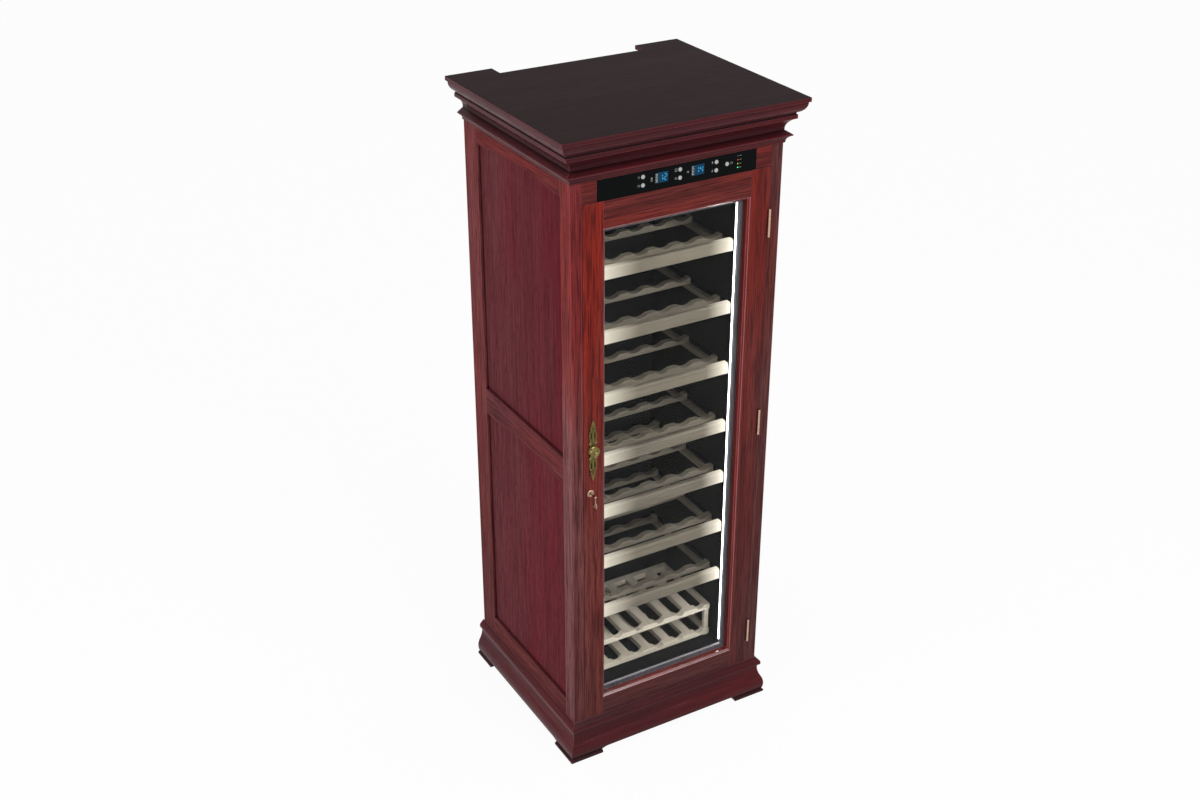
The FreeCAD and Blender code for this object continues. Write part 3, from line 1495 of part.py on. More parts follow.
def door_frame():
    section = [
        ("glass_half", "front_y"), ("door_half", "front_y"), ("door_half", "door_back"),
        ("rebate_half", "door_back"), ("rebate_half", "seat_y"), ("glass_half", "seat_y"),
    ]
    hinge_stile = padded("hinge_stile", "XY", "door_foot", "door_top", [section])
    for level in hinge_levels():
        foot, head = hinge_span(level)
        pocket(hinge_stile, "YZ", "door_half - leaf_thick", "door_half + 1",
               [rectangle("front_y - 1", "front_y + leaf_depth + groove_play", foot, head)])
    lock_stile = padded("lock_stile", "XY", "door_foot", "door_top", [section])
    pocket(lock_stile, "XZ", "door_back - lock_pocket_depth", "door_back + 1",
           [rectangle("gasket_inner + gasket_width + lock_pocket_margin", "door_half + 1",
                      "lock_level - cam_length - lock_pocket_margin",
                      "lock_level + barrel_radius + lock_pocket_margin")])
    pocket(lock_stile, "XZ", "front_y - 1", "door_back",
           circles=[("lock_side", "lock_level", "barrel_radius")])
    pocket(lock_stile, "XZ", "front_y - 1", "front_y + bolt_depth + bolt_play",
           circles=[("handle_side", "handle_level", "bolt_radius + bolt_play")])
    keep(group("stile_pair", [hinge_stile, mirrored("lock_stile_left", lock_stile)]), "door_stiles")

    rails = []
    for name, outer, edge, sign in (("door_head", "door_top", "glass_top", "1"),
                                    ("door_sill", "door_foot", "glass_foot", "-1")):
        seat = f"{edge} + {sign} * glass_cover"
        low, high = (seat, outer) if sign == "1" else (outer, seat)
        lip_low, lip_high = (edge, seat) if sign == "1" else (seat, edge)
        body = padded(name, "YZ", "-glass_half", "glass_half", [rectangle("front_y", "door_back", low, high)])
        pad(body, "YZ", "-glass_half", "glass_half", [rectangle("front_y", "seat_y", lip_low, lip_high)])
        pad(body, "YZ", "-rebate_half", "rebate_half", [rectangle("seat_y", "door_back", low, high)])
        rails.append(body)
    keep(group("door_rail_pair", rails), "door_rails")


def glazing():
    """Bevelled beads round the glass at the front and flat stops behind it, mitred at the corners."""
    width = "bead_bevel"
    parts = []
    upright = padded("bead_upright", "XY", "glass_foot", "glass_top", [[
        (f"glass_half - {width}", f"front_y + {width}"), ("glass_half", "front_y + bead_nose"),
        ("glass_half", "seat_y"), (f"glass_half - {width}", "seat_y")]])
    for end, inner in (("glass_foot", f"glass_foot + {width}"), ("glass_top", f"glass_top - {width}")):
        pocket(upright, "XZ", "front_y - 1", "seat_y + 1",
               [[("glass_half", end), (f"glass_half - {width}", end), (f"glass_half - {width}", inner)]])
    parts += [upright, mirrored("bead_upright_left", upright)]
    for name, edge, sign in (("bead_head", "glass_top", "-1"), ("bead_sill", "glass_foot", "1")):
        body = padded(name, "YZ", "-glass_half", "glass_half", [[
            (f"front_y + {width}", f"{edge} + {sign} * {width}"), ("front_y + bead_nose", edge),
            ("seat_y", edge), ("seat_y", f"{edge} + {sign} * {width}")]])
        for side in ("-1", "1"):
            pocket(body, "XZ", "front_y - 1", "seat_y + 1", [[
                (f"{side} * glass_half", edge), (f"{side} * glass_half", f"{edge} + {sign} * {width}"),
                (f"{side} * (glass_half - {width})", f"{edge} + {sign} * {width}")]])
        parts.append(body)
    deep = ("stop_y", "door_back")
    foot, head = "glass_foot - glass_cover", "glass_top + glass_cover"
    side_stop = board("side_stop", ("glass_half", "rebate_half"), deep, (foot, head))
    parts += [side_stop, mirrored("side_stop_left", side_stop)]
    parts.append(board("sill_stop", ("-glass_half", "glass_half"), deep, (foot, "glass_foot")))
    parts.append(board("head_stop", ("-glass_half", "glass_half"), deep, ("glass_top", head)))
    keep(group("bead_set", parts), "glazing_beads")

    cover = "rebate_half - pane_play"
    low, high = "glass_foot - glass_cover + pane_play", "glass_top + glass_cover - pane_play"
    panes = []
    for name, start in (("outer_pane", "seat_y"), ("inner_pane", "seat_y + pane_thick + pane_gap")):
        panes.append(board(name, (f"-({cover})", cover), (start, f"{start} + pane_thick"), (low, high)))
    keep(group("pane_pair", panes), "door_glass")
    spacer = padded("spacer_frame", "XZ", "seat_y + pane_thick", "seat_y + pane_thick + pane_gap", [
        rectangle(f"-({cover})", cover, low, high),
        rectangle(f"spacer_width - ({cover})", f"{cover} - spacer_width",
                  f"{low} + spacer_width", f"{high} - spacer_width")])
    keep(spacer, "glass_spacer")


def door_gasket():
    """Magnetic gasket: a flat base with a hollow bulb that meets the liner flange."""
    outer = "gasket_inner + gasket_width"
    ring = padded("gasket_base", "XZ", "door_back", "door_back + gasket_base", [
        rectangle(f"-({outer})", outer, "gasket_low", "gasket_high"),
        rectangle("-gasket_inner", "gasket_inner",
                  "gasket_low + gasket_width", "gasket_high - gasket_width")])
    inset = "gasket_inset"
    pad(ring, "XZ", "door_back", "door_back + gasket_height", [
        rectangle(f"{inset} - ({outer})", f"{outer} - {inset}",
                  f"gasket_low + {inset}", f"gasket_high - {inset}"),
        rectangle(f"-gasket_inner - {inset}", f"gasket_inner + {inset}",
                  f"gasket_low + gasket_width - {inset}", f"gasket_high - gasket_width + {inset}")])
    keep(ring, "door_gasket")


# Hinges

def hinges():
    """Butt hinges with exposed barrels: two outer knuckles on the case, one long knuckle on the door."""
    case_parts = []
    door_parts = []
    for i, level in enumerate(hinge_levels(), start=1):
        foot, head = hinge_span(level)
        low_end = f"{foot} + end_knuckle"
        high_end = f"{head} - end_knuckle"
        case_leaf = board(f"case_leaf_{i}", ("post_inner", "post_inner + leaf_thick"),
                          ("hinge_y", "front_y + leaf_depth"), (foot, head))
        axis = ("hinge_x", "hinge_y", foot)
        case_knuckle = rod(f"case_knuckle_{i}", axis, "knuckle_radius", "hinge_length")
        whole = fused(f"case_hinge_{i}", [case_leaf, case_knuckle])
        gap = board(f"case_gap_{i}", ("hinge_x - knuckle_radius - 1", "hinge_x + knuckle_radius + 1"),
                    ("hinge_y - knuckle_radius - 1", "front_y"),
                    (f"{low_end} - knuckle_gap", f"{high_end} + knuckle_gap"))
        pin = rod(f"hinge_pin_{i}", axis, "pin_radius", "hinge_length")
        case_parts.append(fused(f"case_side_{i}", [cut(f"case_cut_{i}", whole, gap), pin]))

        door_leaf = board(f"door_leaf_{i}", ("door_half - leaf_thick", "door_half"),
                          ("front_y", "front_y + leaf_depth"), (foot, head))
        door_web = board(f"door_web_{i}", ("door_half - leaf_thick", "door_half"),
                         ("hinge_y", "front_y"), (low_end, high_end))
        door_knuckle = rod(f"door_knuckle_{i}", ("hinge_x", "hinge_y", low_end), "knuckle_radius",
                           "hinge_length - 2 * end_knuckle")
        bore = rod(f"door_bore_{i}", axis, "pin_radius + pin_play", "hinge_length")
        welded = fused(f"door_hinge_{i}", [door_leaf, door_web, door_knuckle])
        door_parts.append(cut(f"door_side_{i}", welded, bore))
    keep(group("case_hinges", case_parts), "hinge_case_leaves")
    keep(group("door_hinges", door_parts), "hinge_door_leaves")


# Handle, lock and key

def four_sided(quarter, middle, level):
    """Closed outline from its upper right quarter, listed downwards as (across, along, bow)."""
    last = len(quarter) - 1
    points = []
    for side, rise in ((1, 1), (1, -1), (-1, -1), (-1, 1)):
        forward = side == rise
        for i in range(last) if forward else range(last, 0, -1):
            across, along = quarter[i][:2]
            bow = quarter[i if forward else i - 1][2]
            points.append((f"{middle} + {side} * ({across})", f"{level} + {rise} * ({along})", bow))
    return points


def handle():
    """Pierced backplate with pointed ends, and a pull of stepped rings on a bolt through the stile."""
    quarter = [
        ("0", "plate_half_length", "plate_curl"),
        ("plate_neck_half", "plate_barb_rise + plate_step", "-plate_curl / 4"),
        ("plate_barb_half", "plate_barb_rise", "-plate_curl / 4"),
        ("plate_neck_half", "plate_barb_rise - plate_step", "plate_curl / 2"),
        ("plate_lobe_half", "plate_lobe_high", "plate_curl"),
        ("plate_lobe_half", "plate_lobe_low", "-plate_curl / 2"),
        ("plate_leaf_half", "plate_leaf_rise", "-plate_curl / 2"),
        ("plate_disc_side", "plate_disc_rise", "plate_disc_bow"),
        ("plate_disc", "0"),
    ]
    body = padded("backplate", "XZ", "front_y - plate_thick", "front_y",
                  [four_sided(quarter, "-handle_side", "handle_level")])
    slots = []
    holes = [("-handle_side", "handle_level", "bolt_radius + bolt_play")]
    for rise in (-1, 1):
        holes.append(("-handle_side", f"handle_level + {rise} * plate_hole_rise", "plate_hole_radius"))
        for side in (-1, 1):
            middle = f"-handle_side + {side} * plate_slot_side"
            ends = [f"handle_level + {rise} * (plate_lobe_high - plate_step / 2)",
                    f"handle_level + {rise} * (plate_lobe_low + plate_step / 2)"]
            slots.append([(f"{middle} + plate_slot_half", ends[0], f"{-rise} * plate_slot_half / 2"),
                          (f"{middle} - plate_slot_half", ends[0]),
                          (f"{middle} - plate_slot_half", ends[1], f"{-rise} * plate_slot_half / 2"),
                          (f"{middle} + plate_slot_half", ends[1])])
    pocket(body, "XZ", "front_y - plate_thick - 1", "front_y + 1", slots, holes)
    keep(body, "handle_plate")

    rim = "knob_height - knob_step * 3"
    points = [
        ("0", "-bolt_depth"), ("bolt_radius", "-bolt_depth"), ("bolt_radius", "plate_thick"),
        ("knob_foot_radius", "plate_thick"),
        ("knob_neck_radius", f"(plate_thick + {rim}) / 2"), ("knob_radius", f"{rim} - knob_step * 2"),
        ("knob_radius", rim), ("knob_ring_radius", f"{rim} + knob_step"),
        ("knob_eye_radius", f"{rim} + knob_step"), ("knob_eye_radius", "knob_height"),
        ("0", "knob_height"),
    ]
    keep(turned("knob_pull", ("-handle_side", "front_y", "handle_level"), points), "knob")


def lock():
    """Barrel with a rose, a plug with the cam that throws into the post, and a key with a folding bow."""
    place = ("-lock_side", "front_y", "lock_level")
    depth = "cam_front - front_y"
    barrel = [
        ("plug_radius + plug_play", f"plug_play - ({depth})"), ("barrel_radius", f"plug_play - ({depth})"),
        ("barrel_radius", "0"), ("rose_radius", "0"), ("rose_radius", "rose_thick / 2"),
        ("barrel_radius", "rose_thick"), ("plug_radius + plug_play", "rose_thick"),
    ]
    keep(turned("lock_barrel_turned", place, barrel), "lock_barrel")

    plug = turned("lock_plug", place, [
        ("0", f"-cam_thick - ({depth})"), ("plug_radius", f"-cam_thick - ({depth})"),
        ("plug_radius", "rose_thick - plug_sink"), ("shank_radius + plug_play", "rose_thick - plug_sink"),
        ("shank_radius + plug_play", "-shank_insert"), ("0", "-shank_insert"),
    ])
    arm = padded("cam_arm", "XZ", "cam_front", "cam_back", [[
        ("-lock_side - cam_half", "lock_level - cam_length"),
        ("-lock_side + cam_half", "lock_level - cam_length"),
        ("-lock_side + cam_half", "lock_level", "-cam_swell"),
        ("-lock_side - cam_half", "lock_level")]])
    keep(fused("cam_and_plug", [plug, arm]), "lock_cam")

    shank = turned("key_shank", place, [
        ("0", "-shank_insert"), ("shank_radius", "-shank_insert"),
        ("shank_radius", "rose_thick + plug_play"), ("key_collar_radius", "rose_thick + plug_play"),
        ("key_collar_radius", "rose_thick + key_collar_thick"),
        ("shank_radius", "rose_thick + key_collar_thick"),
        ("shank_radius", "shank_reach"), ("0", "shank_reach"),
    ])
    eye = rod("key_eye", ("-lock_side - eye_half", "shank_tip", "lock_level"), "eye_radius",
              "eye_half * 2", along="x")
    reach = "bow_hub_radius + eye_slot_reach"
    half = "bow_thick / 2 + eye_slot_play"
    slot = board("key_slot", (f"-lock_side - ({half})", f"-lock_side + {half}"),
                 ("shank_tip - eye_radius - 1", f"shank_tip + {reach}"),
                 ("lock_level - eye_radius - 1", "lock_level + eye_radius + 1"))
    rivet = rod("key_rivet", ("-lock_side - eye_half", "shank_tip", "lock_level"), "rivet_radius",
                "eye_half * 2", along="x")
    fork = cut("key_fork", fused("key_blank", [shank, eye]), slot)
    keep(fused("key_riveted", [fork, rivet]), "key")

    middle = "lock_level - bow_drop"
    faces = ("-lock_side - bow_thick / 2", "-lock_side + bow_thick / 2")
    oval = four_sided([("0", "bow_half_height", "bow_swell"), ("bow_half_width", "0")], "shank_tip", middle)
    bow = padded("bow_oval", "YZ", *faces, [oval])
    pad(bow, "YZ", *faces, [rectangle("shank_tip - bow_stem_half", "shank_tip + bow_stem_half",
                                      f"{middle} + bow_half_height - 1", "lock_level")])
    pad(bow, "YZ", *faces, circles=[("shank_tip", "lock_level", "bow_hub_radius")])
    holes = [("shank_tip", f"{middle} + bow_hole_rise", "bow_hole_radius"),
             ("shank_tip", "lock_level", "rivet_radius + plug_play")]
    for side in (-1, 1):
        spot = (f"shank_tip + {side} * bow_hole_side", f"{middle} - bow_hole_drop")
        holes.append((*spot, "bow_hole_radius"))
    pocket(bow, "YZ", "-lock_side - bow_thick", "-lock_side + bow_thick", circles=holes)
    keep(bow, "key_bow")


# Build, check and export

def build():
    top_board()
    crown_moulding()
    neck_moulding()
    plinth()
    case_boards()
    front_posts()
    side_frames()
    face_rails()
    insulated_body()
    led_strips()
    shelves()
    bottle_rack()
    air_duct()
    fans()
    machine_bay()
    condenser()
    refrigerant_pipes()
    power_inlet()
    control_panel()
    door_frame()
    glazing()
    door_gasket()
    hinges()
    handle()
    lock()
    DOC.recompute()


def check():
    """Stop if a feature failed, a cut removed nothing or a sub-part isn't a sound solid."""
    for thing in DOC.Objects:
        if "Invalid" in thing.State or "Error" in thing.State:
            raise RuntimeError(f"{thing.Label} failed: {thing.State}")
        if thing.TypeId == "PartDesign::Pocket":
            before = thing.BaseFeature.Shape.Volume
            if before - thing.Shape.Volume < 0.01:
                raise RuntimeError(f"{thing.Label} cut nothing")
    for node in NODES:
        shape = node.Shape
        if shape.isNull() or not shape.isValid() or not shape.Solids:
            raise RuntimeError(f"{node.Label} isn't a sound solid")


def export():
    os.makedirs("parts", exist_ok=True)
    for node in NODES:
        node.Shape.exportStep(os.path.join("parts", node.Label + ".step"))
    print(f"{len(NODES)} sub-parts written")


build()
check()
export()
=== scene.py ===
"""A cooled wine cabinet in a mahogany case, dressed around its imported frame."""

import math

import bpy
from mathutils import Matrix, Vector


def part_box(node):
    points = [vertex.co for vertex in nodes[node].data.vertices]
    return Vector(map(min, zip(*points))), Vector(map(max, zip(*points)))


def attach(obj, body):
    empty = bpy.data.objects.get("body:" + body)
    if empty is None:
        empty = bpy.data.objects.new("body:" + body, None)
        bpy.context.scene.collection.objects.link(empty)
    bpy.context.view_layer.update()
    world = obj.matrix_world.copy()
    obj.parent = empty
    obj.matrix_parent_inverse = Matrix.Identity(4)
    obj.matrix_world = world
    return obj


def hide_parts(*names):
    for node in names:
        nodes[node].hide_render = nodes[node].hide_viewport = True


bl_info = {
    "name": "Cooled wine cabinet",
    "version": (1, 0, 0),
    "blender": (4, 5, 0),
    "location": "View3D > Sidebar > Wine cabinet",
    "description": "Finishes a mahogany wine cabinet with its timber, brass, glass and lighting",
    "category": "Add Mesh",
}

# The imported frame, in metres
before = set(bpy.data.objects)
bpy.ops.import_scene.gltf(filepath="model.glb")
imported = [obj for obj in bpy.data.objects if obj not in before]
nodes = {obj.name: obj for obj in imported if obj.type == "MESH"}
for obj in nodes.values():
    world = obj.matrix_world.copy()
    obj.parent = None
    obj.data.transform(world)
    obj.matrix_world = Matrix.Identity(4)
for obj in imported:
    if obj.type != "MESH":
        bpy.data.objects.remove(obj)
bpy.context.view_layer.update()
SHELF_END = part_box("shelf_1")[1].x
MM = 0.001


def middle(node):
    """Centre of a node's box."""
    low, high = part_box(node)
    return (low + high) / 2


def tint(code):
    """Linear colour of a six-digit colour code."""
    parts = [int(code[i : i + 2], 16) / 255 for i in (0, 2, 4)]
    linear = [p / 12.92 if p <= 0.04045 else ((p + 0.055) / 1.055) ** 2.4 for p in parts]
    return (*linear, 1.0)


def length(name, note, value):
    """A length that a user may change."""
    return bpy.props.FloatProperty(name=name, description=note, default=value, unit="LENGTH", precision=5)


def colour(name, note, code):
    """A colour that a user may change."""
    return bpy.props.FloatVectorProperty(
        name=name, description=note, default=tint(code), size=4, min=0, max=1, subtype="COLOR"
    )


def amount(name, note, value, top=1.0):
    """A plain factor that a user may change."""
    return bpy.props.FloatProperty(name=name, description=note, default=value, min=0, max=top)


def wattage(name, note, value):
    """A lamp's power that a user may change."""
    return bpy.props.FloatProperty(name=name, description=note, default=value, unit="POWER")


class TimberLook(bpy.types.PropertyGroup):
    """Colours of the stained timber."""

    ground: colour("Ground", "Mahogany stain on the frame and door", "68302d")
    # Painted shade and reflection: the greyer, darker ground towards the foot
    low: colour("Low ground", "Painted shade and reflection towards the foot", "513030")
    streak: colour("Streak", "Dark early wood in the stain", "2c1114")
    glow: colour("Glow", "Redder patches of the stain", "7a271f")
    # Rubbed edges and a painted highlight along them
    edge: colour("Edge", "Stain rubbed thin along edges, with a painted highlight", "94525a")
    # Dark lines where boards meet, and painted shade in hollows
    joint: colour("Joint", "Dark line where boards meet and in hollows", "150608")
    # Painted light: the rosier, lighter ground of the side faces
    side: colour("Side", "Rosier, lighter ground on the side stiles and rails: painted light", "824344")
    # Partly deeper stain, partly painted shade under the crown's overhang
    moulding: colour("Moulding", "Deeper stain and painted shade on crown, neck and plinth", "461b1f")
    # Painted light: the side lengths are lighter
    side_moulding: colour("Side moulding", "Painted light on the side lengths of the mouldings", "55262b")
    panel: colour("Panel", "Stain on the side panels", "662b32")
    top: colour("Top", "Dark stain of the top board", "2a1b1e")
    # Darkened as painted shade inside the cabin
    shelf: colour("Shelf", "Oiled beech of the shelves", "6c655b")
    rack: colour("Rack", "Pale beech of the bottle rack", "cdc2b0")
    carcass: colour("Carcass", "Unfinished board inside the case", "a58662")


class Fittings(bpy.types.PropertyGroup):
    """Colours of the metal, plastic and lit fittings."""

    brass: colour("Brass", "Antique brass of the handle", "a3935a")
    hinge: colour("Hinge", "Pale plating of the hinges", "cfae98")
    key: colour("Key", "Copper-toned key and rose", "b8937c")
    button: colour("Button", "Metallised push buttons", "aaaaac")
    window: colour("Window", "Lit ground of the displays", "0b3550")
    digit: colour("Digit", "Lit digits of the displays", "3d93b8")
    lamp: colour("Cabin light", "White light strips beside the shelves", "fbfdff")
    lamp_level: amount("Cabin light level", "Strength of the light strips", 14.0, 60.0)


class Sizes(bpy.types.PropertyGroup):
    """Rounding of the edges, and the sizes of the small trim."""

    board_edge: length("Board edges", "Rounding of the frame boards", 0.0012)
    moulding_edge: length("Moulding edges", "Rounding of the crown and neck", 0.0006)
    shelf_edge: length("Shelf edges", "Rounding of the shelves and the bottle rack", 0.0009)
    rim_bead: length("Rim beads", "Radius of the beads along the handle plate's rim", 0.00085)
    rim_step: length("Rim bead spacing", "Distance from one rim bead to the next", 0.0023)
    spine_bead: length("Spine beads", "Radius of the largest bead on the handle plate's spine", 0.00135)
    digit: length("Digit", "Width of a lit digit, which is half its height", 0.008)


class Studio(bpy.types.PropertyGroup):
    """Camera and light of the picture."""

    lens: bpy.props.FloatProperty(name="Lens", description="Focal length in millimetres", default=47.77)
    sky: amount("Sky", "Strength of the even light", 0.62, 4.0)
    key: wattage("Key", "Power of the main lamp", 95)
    fill: wattage("Fill", "Power of the side lamp", 55)


# Shader groups


def node_in(tree, kind, **settings):
    """Adds a node and sets its options."""
    node = tree.nodes.new(kind)
    for option, value in settings.items():
        setattr(node, option, value)
    return node


def give(tree, socket, source):
    """Links a socket to its source, or sets it to a plain value."""
    if isinstance(source, bpy.types.NodeSocket):
        tree.links.new(source, socket)
    else:
        socket.default_value = source


def feed(tree, node, **sources):
    """Gives a node its inputs by name, with underscores for spaces."""
    for name, source in sources.items():
        give(tree, node.inputs[name.replace("_", " ")], source)
    return node


def maths(tree, operation, first, second=0.0, clamp=False):
    """One sum of two values."""
    node = node_in(tree, "ShaderNodeMath", operation=operation, use_clamp=clamp)
    give(tree, node.inputs[0], first)
    give(tree, node.inputs[1], second)
    return node.outputs[0]


def times(tree, first, second):
    """One value times another."""
    return maths(tree, "MULTIPLY", first, second)


def plus(tree, first, second):
    """Two values added."""
    return maths(tree, "ADD", first, second)


def vector_maths(tree, operation, first, second, result="Vector"):
    """One sum of two vectors."""
    node = node_in(tree, "ShaderNodeVectorMath", operation=operation)
    give(tree, node.inputs[0], first)
    give(tree, node.inputs[1], second)
    return node.outputs[result]


def blend_colour(tree, factor, first, second):
    """Mixes two colours."""
    node = node_in(tree, "ShaderNodeMix", data_type="RGBA")
    for index, source in ((0, factor), (6, first), (7, second)):
        give(tree, node.inputs[index], source)
    return node.outputs[2]


def spread(tree, value, low, high, start=0.0, stop=1.0):
    """Maps a range of a value to another, held at its ends."""
    node = node_in(tree, "ShaderNodeMapRange", clamp=True)
    feed(tree, node, Value=value, From_Min=low, From_Max=high, To_Min=start, To_Max=stop)
    return node.outputs["Result"]


def noise(tree, vector, stretch, detail=3.0, rough=0.5, twist=0.0):
    """A noise value over coordinates stretched by a vector, in cycles a metre."""
    scaled = vector_maths(tree, "MULTIPLY", vector, stretch)
    node = node_in(tree, "ShaderNodeTexNoise")
    feed(tree, node, Vector=scaled, Scale=1.0, Detail=detail, Roughness=rough, Distortion=twist)
    return node.outputs["Fac"]


VALUE = "NodeSocketFloat"
COLOUR = "NodeSocketColor"
VECTOR = "NodeSocketVector"


def open_group(name, inputs, outputs=("Color", "Roughness", "Height")):
    """Starts a shader group. An input is given as its kind, or as a value's default."""
    tree = bpy.data.node_groups.new(name, "ShaderNodeTree")
    for label, given in inputs.items():
        kind = given if isinstance(given, str) else VALUE
        socket = tree.interface.new_socket(name=label, in_out="INPUT", socket_type=kind)
        if kind == VALUE:
            socket.default_value = given
    for label in outputs:
        kind = COLOUR if label == "Color" else VALUE
        tree.interface.new_socket(name=label, in_out="OUTPUT", socket_type=kind)
    return tree, tree.nodes.new("NodeGroupInput").outputs, tree.nodes.new("NodeGroupOutput")


def timber_group(name):
    """Stained open-pored timber, its grain along the first coordinate."""
    inputs = {"Vector": VECTOR, "Ground": COLOUR, "Streak": COLOUR, "Glow": COLOUR}
    inputs.update({"Streaking": 0.6, "Pores": 0.6, "Figure": 0.4})
    tree, entry, leave = open_group(name, inputs)
    place = entry["Vector"]
    board = noise(tree, place, (1.1, 7.0, 7.0), 2.0)
    band = noise(tree, place, (1.6, 60.0, 60.0), 3.0, 0.6, 0.2)
    dash = noise(tree, place, (7.5, 210.0, 210.0), 3.0, 0.62)
    pore = noise(tree, place, (24.0, 560.0, 560.0), 2.0, 0.6)
    # Growth rings, drawn out along the board
    drawn = vector_maths(tree, "MULTIPLY", place, (0.1, 1.0, 1.0))
    rings = node_in(tree, "ShaderNodeTexWave", wave_type="BANDS", bands_direction="DIAGONAL")
    feed(tree, rings, Vector=drawn, Scale=15.0, Distortion=4.0, Detail=3.0, Detail_Scale=1.6)
    figure = times(tree, spread(tree, rings.outputs["Fac"], 0.55, 1.0), entry["Figure"])
    stripe = times(tree, spread(tree, band, 0.42, 0.66, 0.0, 0.55), entry["Streaking"])
    mark = times(tree, spread(tree, dash, 0.46, 0.62), entry["Streaking"])
    pit = times(tree, spread(tree, pore, 0.55, 0.66), entry["Pores"])
    shade = blend_colour(tree, spread(tree, board, 0.4, 0.62), entry["Ground"], entry["Glow"])
    for share in (stripe, times(tree, mark, 0.8), figure, times(tree, pit, 0.7)):
        shade = blend_colour(tree, share, shade, entry["Streak"])
    dull = plus(tree, times(tree, mark, 0.14), times(tree, pit, 0.25))
    sunk = plus(tree, times(tree, pit, -1.0), times(tree, mark, -0.4))
    feed(tree, leave, Color=shade, Roughness=dull, Height=sunk)
    return tree


def edge_group(name):
    """Mask of the rounded edges of a piece: rubbed wear and a painted highlight."""
    tree, entry, leave = open_group(name, {"Radius": 0.002, "Amount": 0.5}, ["Mask"])
    soft = node_in(tree, "ShaderNodeBevel", samples=4)
    feed(tree, soft, Radius=entry["Radius"])
    flat = node_in(tree, "ShaderNodeNewGeometry").outputs["Normal"]
    turn = vector_maths(tree, "DOT_PRODUCT", soft.outputs["Normal"], flat, "Value")
    feed(tree, leave, Mask=times(tree, spread(tree, turn, 0.995, 0.9), entry["Amount"]))
    return tree


def hollow_group(name):
    """Mask of grooves, joints and hollows, where little open air lies within reach: painted shade, with dark
    lines and grime in some.
    """
    inputs = {"Reach": 0.006, "Amount": 0.8, "Open": 0.85, "Shut": 0.4}
    tree, entry, leave = open_group(name, inputs, ["Mask"])
    air = node_in(tree, "ShaderNodeAmbientOcclusion", samples=8)
    feed(tree, air, Distance=entry["Reach"])
    filled = spread(tree, air.outputs["AO"], entry["Open"], entry["Shut"])
    feed(tree, leave, Mask=times(tree, filled, entry["Amount"]))
    return tree


def fade_group(name):
    """Share of the way between two places along one axis, with soft uneven borders."""
    inputs = {"Vector": VECTOR, "Axis": VECTOR, "Start": 0.0, "Stop": 1.0}
    tree, entry, leave = open_group(name, inputs, ["Share"])
    along = vector_maths(tree, "DOT_PRODUCT", entry["Vector"], entry["Axis"], "Value")
    cloud = noise(tree, entry["Vector"], (9.0, 9.0, 2.5), 2.0)
    wander = times(tree, spread(tree, cloud, 0.3, 0.7, -1.0, 1.0), 0.12)
    feed(tree, leave, Share=spread(tree, plus(tree, along, wander), entry["Start"], entry["Stop"]))
    return tree


def speckle_group(name):
    """Fine moulded or cast texture with slow changes of tone."""
    inputs = {"Vector": VECTOR, "Ground": COLOUR, "Other": COLOUR}
    inputs.update({"Patch Scale": 30.0, "Grain Scale": 900.0, "Contrast": 0.5})
    tree, entry, leave = open_group(name, inputs)
    patch = node_in(tree, "ShaderNodeTexNoise")
    feed(tree, patch, Vector=entry["Vector"], Scale=entry["Patch Scale"], Detail=4.0, Roughness=0.6)
    grain = node_in(tree, "ShaderNodeTexNoise")
    feed(tree, grain, Vector=entry["Vector"], Scale=entry["Grain Scale"], Detail=2.0, Roughness=0.5)
    fine = grain.outputs["Fac"]
    tone = times(tree, spread(tree, patch.outputs["Fac"], 0.35, 0.65), entry["Contrast"])
    shade = blend_colour(tree, tone, entry["Ground"], entry["Other"])
    dull = plus(tree, times(tree, tone, 0.25), times(tree, fine, 0.08))
    feed(tree, leave, Color=shade, Roughness=dull, Height=fine)
    return tree


def brushed_group(name):
    """Fine lines of brushed or drawn metal along the first coordinate."""
    tree, entry, leave = open_group(name, {"Vector": VECTOR, "Ground": COLOUR, "Contrast": 0.2})
    line = noise(tree, entry["Vector"], (12.0, 1500.0, 1500.0), 3.0, 0.6)
    cloud = noise(tree, entry["Vector"], (6.0, 9.0, 9.0), 2.0)
    share = times(tree, spread(tree, line, 0.3, 0.7), entry["Contrast"])
    shade = blend_colour(tree, share, entry["Ground"], (0.02, 0.02, 0.02, 1.0))
    dull = plus(tree, times(tree, line, 0.15), times(tree, cloud, 0.1))
    feed(tree, leave, Color=shade, Roughness=dull, Height=line)
    return tree


GROUP_MAKERS = {
    "Timber": timber_group,
    "Edge wear": edge_group,
    "Hollow": hollow_group,
    "Fade": fade_group,
    "Speckle": speckle_group,
    "Brushed": brushed_group,
}
GROUPS = {}


def use_group(tree, name, **sources):
    """Places a shared group in a material. Each group is built once."""
    if name not in GROUPS:
        GROUPS[name] = GROUP_MAKERS[name](name)
    return feed(tree, node_in(tree, "ShaderNodeGroup", node_tree=GROUPS[name]), **sources)


# Materials

GRAIN_TURN = {"across": (0, 0, 0), "upright": (0, math.pi / 2, 0), "deep": (0, 0, math.pi / 2)}
# How much hollows darken: painted shade, with dark lines where parts meet, grime and patina
HOLLOW_LOOK = {"hollow": 0, "shade_and_dirt": 0.85, "open": 0.85, "shut": 0.4}
TIMBER_LOOK = {
    **HOLLOW_LOOK,
    "streaking": 0.6,
    "pores": 0.6,
    "figure": 0.35,
    "rub": 0.55,
    "wear": 0.0022,
    "rough": 0.36,
    "gloss": 1.15,
    "depth": 0.00018,
    "fades": (),
    "lit": False,
}
CAST_LOOK = {
    **HOLLOW_LOOK,
    "patch": 30.0,
    "grain": 900.0,
    "contrast": 0.5,
    "edge": None,
    "rub": 0.6,
    "wear": 0.0008,
    "deep": (0.01, 0.01, 0.01, 1.0),
    "shine": 0.4,
    "depth": 0.00005,
}
FINISHES = {}


